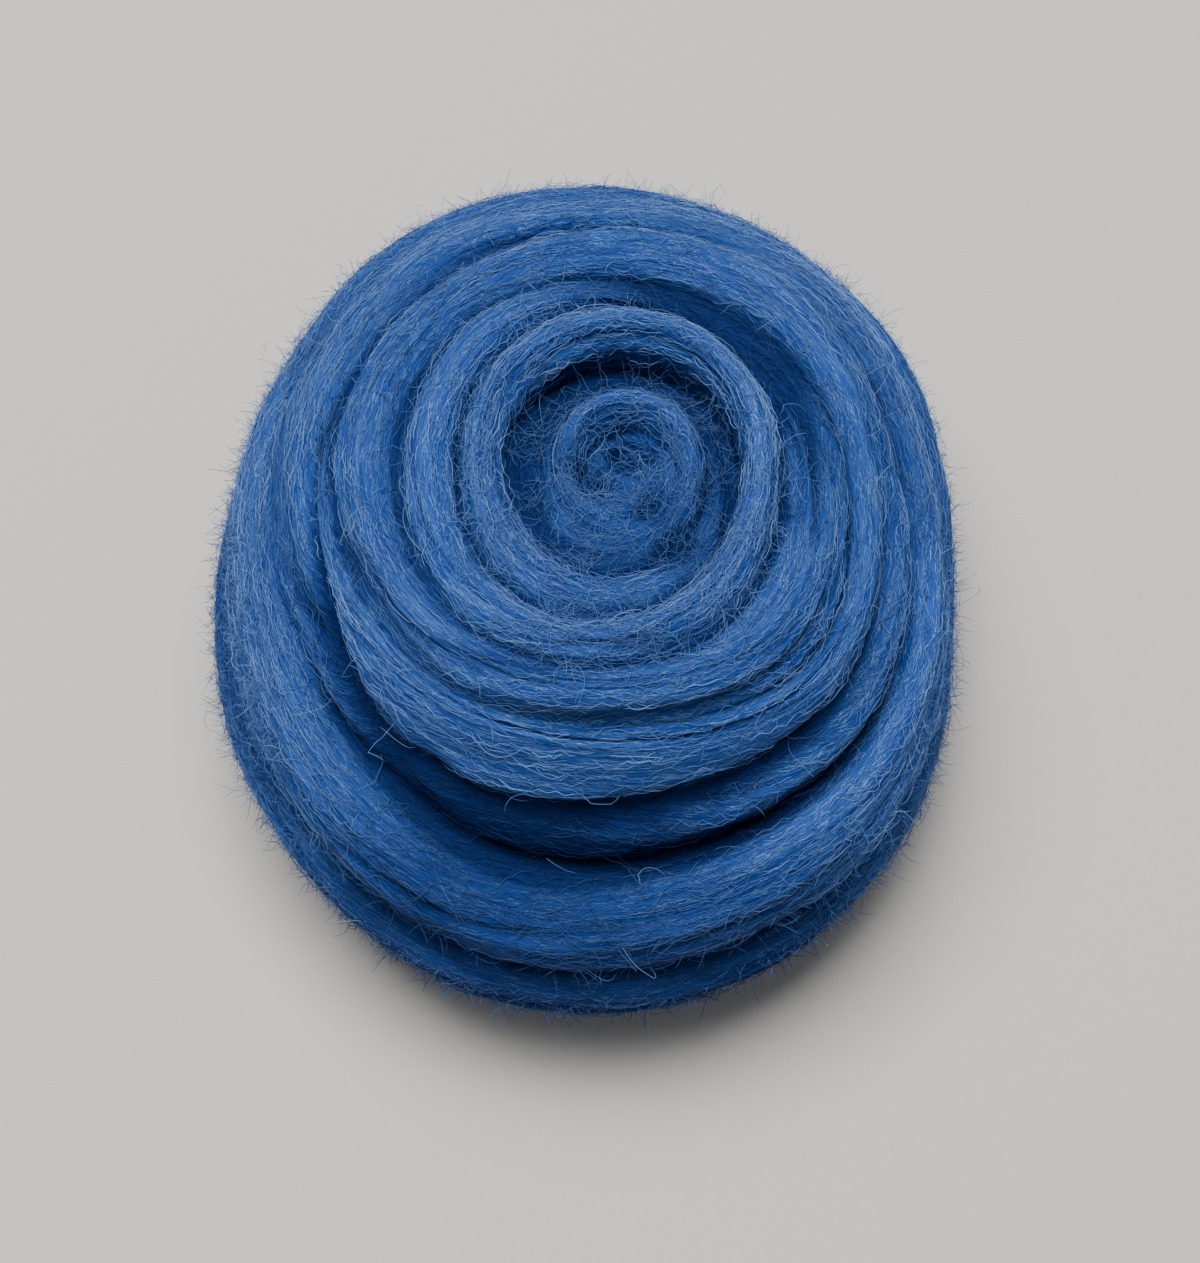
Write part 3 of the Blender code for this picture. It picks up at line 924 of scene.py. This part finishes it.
def combed_wool():
    """Combed wool: layers of fine crimped fibres, nearly along the strand, the top ones palest. The
    paleness of the top layers, the deep ground between them and the deeper hollows are painted
    light and shade.
    """
    colours = bpy.context.scene.roving_colours
    material, shader = new_material("combed_wool_mat")
    tree = material.node_tree
    strand = add_node(tree, "UVMap", uv_map="strand").outputs["UV"]
    bundles = add_node(tree, "Mapping", {"Vector": strand,
                                         "Scale": (1 / BUNDLE_LONG, 1 / BUNDLE_WIDE, 1)})
    bundle = add_node(tree, "TexNoise", {"Vector": bundles.outputs[0], "Scale": 1.0, "Detail": 2.0,
                                         "Roughness": 0.6}, noise_dimensions="2D").outputs["Fac"]
    low, high = BUNDLE_RANGE
    bundle = add_node(tree, "MapRange", {"Value": bundle, "From Min": low,
                                         "From Max": high}).outputs[0]
    # Painted shade: the ground between the fibres is deep, and deepest where a bundle lies low.
    ground = add_node(tree, "Math", {0: bundle, 1: BUNDLE_GROUND}, operation="MULTIPLY").outputs[0]
    colour = add_node(tree, "Mix", {0: ground, 6: colours.deep_wool, 7: colours.mid_wool},
                      data_type="RGBA").outputs[2]
    relief = bundle
    for seed, layer in enumerate(LAYERS):
        line, chance = fibre_layer(tree, strand, layer, seed)
        tone = add_node(tree, "SeparateXYZ", {0: chance}).outputs[1]
        tone = add_node(tree, "Math", {0: tone, 1: TONE_SPREAD, 2: layer.pale - TONE_SPREAD / 2},
                        operation="MULTIPLY_ADD").outputs[0]
        # Painted light: the fibres on a high bundle are paler.
        tone = add_node(tree, "Math", {0: bundle, 1: BUNDLE_PALER, 2: tone},
                        operation="MULTIPLY_ADD", use_clamp=True).outputs[0]
        fibre = add_node(tree, "Mix", {0: tone, 6: colours.mid_wool, 7: colours.pale_wool},
                         data_type="RGBA").outputs[2]
        colour = add_node(tree, "Mix", {0: line, 6: colour, 7: fibre}, data_type="RGBA").outputs[2]
        relief = add_node(tree, "Math", {0: line, 1: LINE_HIGH, 2: relief},
                          operation="MULTIPLY_ADD").outputs[0]
    colour = paint_shade_and_streaks(tree, colour, colours)
    tree.links.new(colour, shader.inputs["Base Color"])
    bump = add_node(tree, "Bump", {"Height": relief, "Strength": 1.0, "Distance": DRAWN_HIGH * MM})
    tree.links.new(bump.outputs[0], shader.inputs["Normal"])
    wool_surface(shader, colours)
    return material


def single_fibres():
    """Single wool fibres: each has one tone of the dye, with painted shade where it lies low or
    sunk.
    """
    colours = bpy.context.scene.roving_colours
    material, shader = new_material("single_fibres_mat")
    tree = material.node_tree
    shade = add_node(tree, "Attribute", attribute_name="shade").outputs["Fac"]
    colour = add_node(tree, "Mix", {0: shade, 6: colours.deep_wool, 7: colours.tip_wool},
                      data_type="RGBA").outputs[2]
    tree.links.new(paint_shade_and_streaks(tree, colour, colours), shader.inputs["Base Color"])
    wool_surface(shader, colours)
    return material


MATERIALS = {"combed_wool_mat": combed_wool, "single_fibres_mat": single_fibres}


def finish_named(name):
    """A material from the list above, made the first time that it is asked for."""
    return bpy.data.materials.get(name) or MATERIALS[name]()


# ---------------------------------------------------------------- settings


dye = partial(FloatVectorProperty, subtype="COLOR", size=4, min=0, max=1)
drawn = partial(FloatProperty, unit="LENGTH", default=0.040 * MM, min=0.01 * MM)


class RovingColours(PropertyGroup):
    # Painted shade: the colour that the wool turns to in its grooves and hollows, and in its random
    # streaks.
    shade_and_streak_wool: dye(name="Sunk wool", description="Dye colour down in the grooves",
                   default=linear("#0D2357"))
    # Painted shade between the fibres of the combed wool; for single fibres, their darkest tone.
    deep_wool: dye(name="Deep wool", description="Dye colour down between the fibres",
                   default=linear("#1C3F8A"))
    mid_wool: dye(name="Wool", description="Main colour of the dyed wool",
                  default=linear("#3663B2"))
    # The top fibres' paleness is partly painted light; this colour is also the sheen's tint.
    pale_wool: dye(name="Fibres on top", description="Colour of the fibres that lie on top",
                   default=linear("#6F9BE0"))
    tip_wool: dye(name="Loose fibres", description="Colour of the palest single fibres",
                  default=linear("#87B0EC"))


class RovingSizes(PropertyGroup):
    laid_radius: drawn(name="Laid fibre radius",
                       description="Drawn radius of a fibre that lies on the strand")
    loose_radius: drawn(name="Loose fibre radius",
                        description="Drawn radius of a fibre that stands off the strand")
    laid_count: IntProperty(
        name="Laid fibres", description="How many fibres each joined piece along the strand holds",
        default=5000, min=10, max=5500)
    laid_pieces: IntProperty(
        name="Laid pieces", description="How many joined pieces the laid fibres are made in",
        default=2, min=1, max=3)
    fuzz_count: IntProperty(
        name="Fuzz hairs", description="How many short hairs each joined piece of fuzz holds",
        default=9300, min=10, max=11000)
    fuzz_pieces: IntProperty(
        name="Fuzz pieces", description="How many joined pieces the fuzz is made in",
        default=2, min=1, max=3)
    halo_count: IntProperty(
        name="Halo hairs", description="How many fine hairs stand off the ball's sides like a mist",
        default=5400, min=10, max=6000)
    draped_count: IntProperty(
        name="Draped fibres", description="How many long fibres lie over the turns at random",
        default=5500, min=10, max=6000)
    stray_count: IntProperty(
        name="Stray fibres", description="How many long curly fibres stand off the ball",
        default=160, min=1, max=1000)


# ---------------------------------------------------------------- the pieces


class ROVING_OT_wind_strand(Operator):
    """Wind the combed strand into a closed ball with a flat spot underneath"""

    bl_idname = "roving.wind_strand"
    bl_label = "Wind the strand"

    def execute(self, context):
        made = skin()
        deselect_all()
        bpy.ops.mesh.primitive_grid_add(size=2, x_subdivisions=made.steps,
                                        y_subdivisions=STEPS_ACROSS)
        ball = context.object
        ball.name = ball.data.name = "wound_strand"
        mesh = ball.data
        flat = np.empty(3 * len(mesh.vertices), np.float32)
        mesh.vertices.foreach_get("co", flat)
        flat = flat.reshape(-1, 3)
        step = np.round((flat[:, 0] + 1) / 2 * made.steps).astype(int)
        rank = np.round((flat[:, 1] + 1) / 2 * STEPS_ACROSS).astype(int)
        mesh.vertices.foreach_set("co", (made.points[step, rank] * MM).astype(np.float32).ravel())
        self.write_surface_data(mesh, made, step, rank)
        bpy.ops.object.mode_set(mode="EDIT")
        bpy.ops.mesh.select_all(action="SELECT")
        bpy.ops.mesh.remove_doubles(threshold=WELD * MM)
        self.close_top(ball)
        bpy.ops.mesh.select_all(action="SELECT")
        bpy.ops.mesh.bisect(plane_co=(0, 0, 0), plane_no=(0, 0, 1), clear_inner=True, use_fill=True,
                            threshold=WELD * MM)
        bpy.ops.mesh.select_all(action="SELECT")
        bpy.ops.mesh.normals_make_consistent(inside=False)
        bpy.ops.object.mode_set(mode="OBJECT")
        bpy.ops.object.shade_smooth_by_angle(angle=SMOOTH_BELOW)
        piece_done(ball, finish_named("combed_wool_mat"))
        return {"FINISHED"}

    def write_surface_data(self, mesh, made, step, rank):
        """The strand's own map in millimetres, along and across, and the painted shade of each
        point, with its random streaks.
        """
        while mesh.uv_layers:
            mesh.uv_layers.remove(mesh.uv_layers[0])
        strand = mesh.uv_layers.new(name="strand")
        corner = np.empty(len(mesh.loops), np.int32)
        mesh.loops.foreach_get("vertex_index", corner)
        along, across = made.along[step[corner]], made.across[step[corner], rank[corner]]
        strand.data.foreach_set("uv", np.stack([along, across], 1).astype(np.float32).ravel())
        hollow = mesh.attributes.new("hollow", "FLOAT", "POINT")
        hollow.data.foreach_set("value", made.hollow[step, rank].astype(np.float32))

    def close_top(self, ball):
        """Closes the small loop in the middle of the curl with rings that shrink to its centre."""
        bpy.ops.mesh.select_mode(type="EDGE")
        bpy.ops.mesh.select_all(action="DESELECT")
        bpy.ops.mesh.select_non_manifold()
        bpy.ops.object.mode_set(mode="OBJECT")
        mesh = ball.data
        for edge in mesh.edges:
            if mesh.vertices[edge.vertices[0]].co.z < GROOVES_DOWN_ABOVE * MM:
                edge.select = False
        loop = {v for edge in mesh.edges if edge.select for v in edge.vertices}
        centre = sum((mesh.vertices[v].co for v in loop), Vector()) / len(loop)
        first_point, first_face = len(mesh.vertices), len(mesh.polygons)
        bpy.ops.object.mode_set(mode="EDIT")
        for ring in range(1, CAP_RINGS):
            shrink = (CAP_RINGS - ring) / (CAP_RINGS - ring + 1)
            bpy.ops.mesh.extrude_edges_indiv()
            bpy.ops.transform.resize(value=(shrink, shrink, shrink), center_override=centre)
        bpy.ops.mesh.edge_face_add()
        bpy.ops.mesh.poke()
        bpy.ops.object.mode_set(mode="OBJECT")
        self.shape_cap(mesh, first_point, first_face, len(loop))
        bpy.ops.object.mode_set(mode="EDIT")

    def shape_cap(self, mesh, first_point, first_face, per_ring):
        """Gives the cap its holes and its soft knot of fibres, paints shade on it, and lays its map
        flat.
        """
        hollow = mesh.attributes["hollow"].data
        for point in mesh.vertices[first_point:]:
            ring = 1 + (point.index - first_point) // per_ring
            raised = dips(point.co.x / MM, point.co.y / MM) * ease(min(ring / CAP_EASE, 1.0))
            point.co.z += raised * MM
            # Painted shade on the cap, deeper in its dips.
            hollow[point.index].value = min(CAP_SHARE + BOWL_SHARE - DIP_SHARE * raised, 1.0)
        strand = mesh.uv_layers["strand"].data
        ahead, aside = CAP_TURN
        for face in mesh.polygons[first_face:]:
            for corner in face.loop_indices:
                point = mesh.vertices[mesh.loops[corner].vertex_index].co
                strand[corner].uv = (ahead * point.x / MM - aside * point.y / MM,
                                     aside * point.x / MM + ahead * point.y / MM)


def lay_fibres(rng, count):
    """Paths of crimped fibres that follow the strand, with their ends tucked in."""
    made = skin()
    step, across = made.scatter(rng, count)
    length = rng.uniform(*LAID.long, count)[:, None]
    t = np.linspace(-0.5, 0.5, LAID.knots)[None, :] * length
    index = np.clip(step.astype(int), 0, made.steps - 1)
    step_length = np.maximum(made.along[index + 1] - made.along[index], LAID.shortest_step)[:, None]
    half_width = made.width[index][:, None] / 2
    wave = rng.normal(*LAID.crimp, count)[:, None]
    turn = rng.uniform(0, 2 * pi, (3, count))[..., None]
    slope = rng.normal(0, LAID.slope, count)[:, None]
    sway = rng.normal(0, LAID.sway, count)[:, None]
    sway = sway * np.sin(2 * pi * t / (LAID.sway_wave * length) + turn[0])
    swing = rng.uniform(*LAID.swing, count)[:, None] * np.sin(2 * pi * t / wave + turn[1])
    place = across[:, None] + (slope * t + sway + swing) / half_width
    held = np.clip(place, -LAID.held, LAID.held)
    spilled = (place - held) * half_width
    steps_on = step[:, None] + t / step_length
    points = made.read(made.points, steps_on, held)
    normals = unit(made.read(made.normals, steps_on, held))
    ahead = unit(np.gradient(points, axis=1))
    sides = np.cross(normals, ahead)
    tucked = (2 * t / length) ** LAID.tuck_power
    loose = rng.exponential(LAID.loose, count)[:, None]
    lift = LAID.lift + loose * (1 - tucked) - LAID.tuck * tucked
    freed = (rng.uniform(0, 1, count) < LAID.freed)[:, None] * np.clip(2 * t / length, 0, 1) ** 2
    lift = lift + freed * rng.uniform(*LAID.free_lift, count)[:, None]
    lift = lift + LAID.bob * np.sin(2 * pi * t / wave + turn[2])
    lifted = np.minimum(lift, LAID.highest)[..., None] * normals
    hollow = made.read(made.hollow, step, across)[:, 0]
    return points + lifted + spilled[..., None] * sides, normals, hollow


class ROVING_OT_lay_fibres(Operator):
    """Lay fine crimped fibres along the strand, in joined pieces"""

    bl_idname = "roving.lay_fibres"
    bl_label = "Lay the fibres"

    def execute(self, context):
        sizes = context.scene.roving_sizes
        count = sizes.laid_count
        least, more = LAID.shade
        for number in range(sizes.laid_pieces):
            rng = np.random.default_rng(LAID.seed + number)
            paths, normals, hollow = lay_fibres(rng, count)
            radius = sizes.laid_radius / MM * rng.uniform(*LAID.thick, count)
            shade = least + more * rng.beta(*LAID.shade_beta, count)
            # Painted shade: a fibre in a hollow is darker.
            shade = shade * (1 - LAID.dimmed * hollow)
            name = "laid_fibres_%d" % (number + 1)
            fibre_piece(name, paths, normals, radius, shade, hollow)
        return {"FINISHED"}


def wander(rng, start, heading, length, knots, curl):
    """Paths that set off along a heading and bend at random as they go."""
    count = len(start)
    step = (length / (knots - 1))[:, None]
    bend = rng.normal(0, 1, (count, 3)) * curl[:, None]
    points, way = [start], heading
    for _ in range(knots - 1):
        bend = bend + rng.normal(0, WANDER, (count, 3)) * curl[:, None]
        way = unit(way + bend * step)
        points.append(points[-1] + way * step)
    return np.stack(points, 1)


class ROVING_OT_raise_fuzz(Operator):
    """Raise the short hairs that make the strand's surface and the ball's edge soft"""

    bl_idname = "roving.raise_fuzz"
    bl_label = "Raise the fuzz"

    def execute(self, context):
        sizes = context.scene.roving_sizes
        for number in range(sizes.fuzz_pieces):
            self.fuzz(sizes.fuzz_count, number)
        self.halo(sizes.halo_count)
        return {"FINISHED"}

    def fuzz(self, count, number):
        """Hairs all over the skin, fewer and flatter on the lips of the upper turns."""
        made = skin()
        rng = np.random.default_rng(HAIR.seed + number)
        step, across = made.scatter(rng, count, lowest=HAIR.lowest)
        level = made.read(made.normals, step, across)[:, 2]
        combed = progress(level, *LIP_LEVEL) * (step < UPPER_TURNS * STEPS_PER_TURN)
        kept = np.flatnonzero(rng.uniform(0, 1, count) > COMBED_SHARE * combed)
        step, across, combed = step[kept], across[kept], combed[kept]
        raised = rng.uniform(0, 1, len(kept)) ** 2 * (1 - COMBED_SHARE * combed)
        self.hairs(rng, "fuzz_%d" % (number + 1), step, across, raised, combed)

    def halo(self, count):
        """Fine hairs that stand off the ball's widest turn like a mist."""
        made = skin()
        rng = np.random.default_rng(HALO.seed)
        first, last = HALO.turns
        step, across = made.scatter(rng, HALO.tries * count, first_turn=first, last_turn=last)
        level = made.read(made.normals, step, across)[:, 2]
        chosen = np.flatnonzero(np.abs(level) < HALO.level)[:count]
        raised = rng.uniform(*HALO.raised, len(chosen))
        self.hairs(rng, "halo_hairs", step[chosen], across[chosen], raised, 0 * raised,
                   HALO.thin, HALO.sunk_share)

    def hairs(self, rng, name, step, across, raised, combed, thin=1.0, sunk_share=1.0):
        """One joined piece of short hairs, each raised or combed flat by its own share."""
        made = skin()
        count = len(step)
        points = made.read(made.points, step, across)
        normals = unit(made.read(made.normals, step, across))
        ahead = unit(made.read(made.points, step + 1.0, across) - points)
        ahead = ahead * rng.choice([-1, 1], count)[:, None]
        sides = np.cross(normals, ahead)
        # The painted shade beneath, which also keeps sunk hairs flatter.
        sunk = sunk_share * made.read(made.hollow, step, across)[:, 0]
        least, more = HAIR.lean
        lean = least + raised * more * (1 - HAIR.lean_lost * sunk)
        heading = np.cos(lean)[:, None] * ahead + np.sin(lean)[:, None] * normals
        heading = unit(heading + rng.normal(0, HAIR.sideways, count)[:, None] * sides)
        least, more = HAIR.long
        length = least + more * rng.beta(*HAIR.long_beta, count)
        length = length * (1 - HAIR.raised_shorter * np.minimum(raised, 1))
        length = length * (1 - HAIR.combed_shorter * combed)
        curl = rng.uniform(*HAIR.curl, count) / thin ** 2 * (1 - HAIR.combed_straighter * combed)
        paths = wander(rng, points - HAIR.root * normals, heading, length, HAIR.knots, curl)
        loose = bpy.context.scene.roving_sizes.loose_radius / MM
        radius = thin * loose * rng.uniform(*HAIR.thick, count)
        # Painted shade: hairs low on the ball are darker.
        upper = np.clip(points[:, 2] / HAIR.full_shade_from, 0, 1)
        lit = HAIR.low_shade + (1 - HAIR.low_shade) * upper
        shade = rng.uniform(*HAIR.shade, count) * lit
        fibre_piece(name, paths, np.repeat(normals[:, None], HAIR.knots, 1), radius, shade, sunk)


class ROVING_OT_drape_fibres(Operator):
    """Drape fine fibres over the turns and the curl, more or less across the strand"""

    bl_idname = "roving.drape_fibres"
    bl_label = "Drape fibres over the turns"

    def execute(self, context):
        made = skin()
        sizes = context.scene.roving_sizes
        rng = np.random.default_rng(DRAPED.seed)
        count = sizes.draped_count
        in_curl = int(DRAPED.in_curl * count)
        inner = made.scatter(rng, in_curl, last_turn=DRAPED.curl_until)
        outer = made.scatter(rng, count - in_curl, lowest=DRAPED.lowest,
                             first_turn=DRAPED.outside_from)
        step, across = (np.concatenate(pair) for pair in zip(inner, outer))
        is_inner = np.arange(count) < in_curl
        start = made.read(made.points, step, across)
        ahead = unit(made.read(made.points, step + 1.0, across) - start)
        self.move_to_middle(rng, start, in_curl)
        x, y = self.path_in_plan(rng, start, ahead, is_inner)
        ends = (2 * np.linspace(0, 1, DRAPED.knots)[None, :] - 1) ** DRAPED.tuck_power
        lift = rng.uniform(*DRAPED.lift, count)[:, None] * (1 - ends) - DRAPED.tuck * ends
        z = HeightMap(made, **DRAPE_OVER).read(x, y) + lift
        for _ in range(TIGHTENINGS):
            z[:, 1:-1] = np.maximum(z[:, 1:-1], (z[:, :-2] + z[:, 2:]) / 2 - SAG)
        level = np.ptp(z, axis=1) < STEEPEST_DRAPE
        radius = sizes.loose_radius / MM * rng.uniform(*DRAPED.thick, count)
        shade = rng.uniform(*DRAPED.shade, count) * np.where(is_inner, *DRAPED.shade_share)
        # The painted shade beneath, which the fibre takes on in part.
        hollow = made.read(made.hollow, step, across)[:, 0]
        hollow = np.where(is_inner, *DRAPED.sunk_share) * hollow
        paths = np.stack([x, y, z], -1)[level]
        fibre_piece("draped_fibres", paths, np.zeros_like(paths) + UP, radius[level], shade[level],
                    hollow[level])
        return {"FINISHED"}

    def move_to_middle(self, rng, start, in_curl):
        """Moves the first of the fibres to places anywhere in the middle of the curl."""
        count = len(start)
        in_middle = np.arange(count) < in_curl * MIDDLE_SHARE
        away = MIDDLE_RADIUS * np.sqrt(rng.uniform(0, 1, count))[:, None]
        angle = rng.uniform(0, 2 * pi, count)
        anywhere = np.stack([np.cos(angle), np.sin(angle)], -1) * away + MIDDLE
        start[:, :2] = np.where(in_middle[:, None], anywhere, start[:, :2])

    def path_in_plan(self, rng, start, ahead, is_inner):
        """Each fibre's course as seen from above: turned off the strand, bent and crimped."""
        count, knots = len(start), DRAPED.knots
        turn = rng.normal(0, 1, count) * np.where(is_inner, *DRAPED.turned)
        turn = turn + pi * rng.integers(0, 2, count)
        bend = rng.normal(0, DRAPED.bend, count)
        inner = rng.uniform(*DRAPED.long_in_curl, count)
        length = np.where(is_inner, inner, rng.uniform(*DRAPED.long_outside, count))
        t = np.linspace(0, 1, knots)[None, :]
        angle = turn[:, None] + (bend * length)[:, None] * t
        kink = rng.uniform(*DRAPED.kink, count) * np.where(is_inner, *DRAPED.kink_share)
        wave = t * length[:, None] / DRAPED.kink_wave + rng.uniform(0, 1, count)[:, None]
        angle = angle + kink[:, None] * np.sin(2 * pi * wave)
        heading = np.arctan2(ahead[:, 1], ahead[:, 0])[:, None] + angle
        gap = (length / (knots - 1))[:, None]
        x = start[:, :1] + np.cumsum(np.cos(heading) * gap, 1) - np.cos(heading[:, :1]) * gap
        y = start[:, 1:2] + np.cumsum(np.sin(heading) * gap, 1) - np.sin(heading[:, :1]) * gap
        return x, y


class ROVING_OT_free_strays(Operator):
    """Free a few long curly fibres, which stand off the ball"""

    bl_idname = "roving.free_strays"
    bl_label = "Free the stray fibres"

    def execute(self, context):
        made = skin()
        sizes = context.scene.roving_sizes
        rng = np.random.default_rng(STRAY.seed)
        count = sizes.stray_count
        step, across = made.scatter(rng, count, lowest=STRAY.lowest)
        points = made.read(made.points, step, across)
        normals = unit(made.read(made.normals, step, across))
        heading = unit(normals + rng.normal(0, STRAY.askew, (count, 3)))
        length = rng.uniform(*STRAY.long, count)
        curl = rng.uniform(*STRAY.curl, count)
        paths = wander(rng, points - STRAY.root * normals, heading, length, STRAY.knots, curl)
        off = paths - points[:, None]
        far = np.linalg.norm(off, axis=-1, keepdims=True)
        paths = points[:, None] + off * np.minimum(1, STRAY.reach / np.maximum(far, 0.1))
        radius = sizes.loose_radius / MM * rng.uniform(*STRAY.thick, count)
        shade = rng.uniform(*STRAY.shade, count)
        facing_way = np.repeat(normals[:, None], STRAY.knots, 1)
        fibre_piece("stray_fibres", paths, facing_way, radius, shade, 0 * shade)
        return {"FINISHED"}


class ROVING_OT_set_stage(Operator):
    """Set the pale floor, the soft light and the camera"""

    bl_idname = "roving.set_stage"
    bl_label = "Set the stage"

    def execute(self, context):
        self.floor(context)
        self.lights(context)
        self.camera(context)
        return {"FINISHED"}

    def floor(self, context):
        deselect_all()
        bpy.ops.mesh.primitive_plane_add(size=FLOOR_SIZE, location=(0, 0, 0))
        floor = context.object
        floor.name = "floor"
        material, shader = new_material("matt_pale_board_mat")
        shader.inputs["Base Color"].default_value = linear(FLOOR_COLOUR)
        shader.inputs["Roughness"].default_value = 0.9
        floor.data.materials.append(material)

    def lights(self, context):
        """One large soft window beyond the ball, high up, and a weak even room light."""
        data = bpy.data.lights.new("window", "AREA")
        data.size = WINDOW_SIZE
        data.energy = WINDOW_POWER
        lamp = bpy.data.objects.new("window", data)
        lamp.location = WINDOW_AT
        lamp.rotation_mode = "QUATERNION"
        lamp.rotation_quaternion = (Vector(WINDOW_AIM) - lamp.location).to_track_quat("-Z", "Y")
        context.scene.collection.objects.link(lamp)
        world = bpy.data.worlds.new("soft_room")
        world.use_nodes = True
        background = world.node_tree.nodes["Background"]
        background.inputs["Color"].default_value = linear(ROOM_COLOUR)
        background.inputs["Strength"].default_value = ROOM_STRENGTH
        context.scene.world = world

    def camera(self, context):
        data = bpy.data.cameras.new("camera")
        data.lens = data.sensor_width * CAMERA_DISTANCE / LONG_SIDE_AT_TARGET
        camera = bpy.data.objects.new("camera", data)
        back = Vector((0, -np.cos(CAMERA_ELEVATION), np.sin(CAMERA_ELEVATION)))
        camera.location = (Vector(CAMERA_TARGET) + back * CAMERA_DISTANCE) * MM
        camera.rotation_mode = "QUATERNION"
        camera.rotation_quaternion = (-back).to_track_quat("-Z", "Y")
        data.clip_start = 0.01
        context.scene.collection.objects.link(camera)
        context.scene.camera = camera


class ROVING_PT_panel(Panel):
    """The roving's steps, in the order in which they are run"""

    bl_idname = "ROVING_PT_panel"
    bl_label = "Wool roving"
    bl_space_type = "VIEW_3D"
    bl_region_type = "UI"
    bl_category = "Roving"

    def draw(self, context):
        for name in RovingSizes.__annotations__:
            self.layout.prop(context.scene.roving_sizes, name)
        for name in RovingColours.__annotations__:
            self.layout.prop(context.scene.roving_colours, name)
        for step in STEPS:
            self.layout.operator(step.bl_idname)


STEPS = (
    ROVING_OT_wind_strand,
    ROVING_OT_lay_fibres,
    ROVING_OT_raise_fuzz,
    ROVING_OT_drape_fibres,
    ROVING_OT_free_strays,
    ROVING_OT_set_stage,
)
CLASSES = (RovingColours, RovingSizes) + STEPS + (ROVING_PT_panel,)


def register():
    for each in CLASSES:
        bpy.utils.register_class(each)
    bpy.types.Scene.roving_colours = PointerProperty(type=RovingColours)
    bpy.types.Scene.roving_sizes = PointerProperty(type=RovingSizes)


def unregister():
    del bpy.types.Scene.roving_sizes
    del bpy.types.Scene.roving_colours
    for each in reversed(CLASSES):
        bpy.utils.unregister_class(each)


def main():
    register()
    bpy.ops.roving.wind_strand()
    bpy.ops.roving.lay_fibres()
    bpy.ops.roving.raise_fuzz()
    bpy.ops.roving.drape_fibres()
    bpy.ops.roving.free_strays()
    bpy.ops.roving.set_stage()


if __name__ == "__main__":
    main()
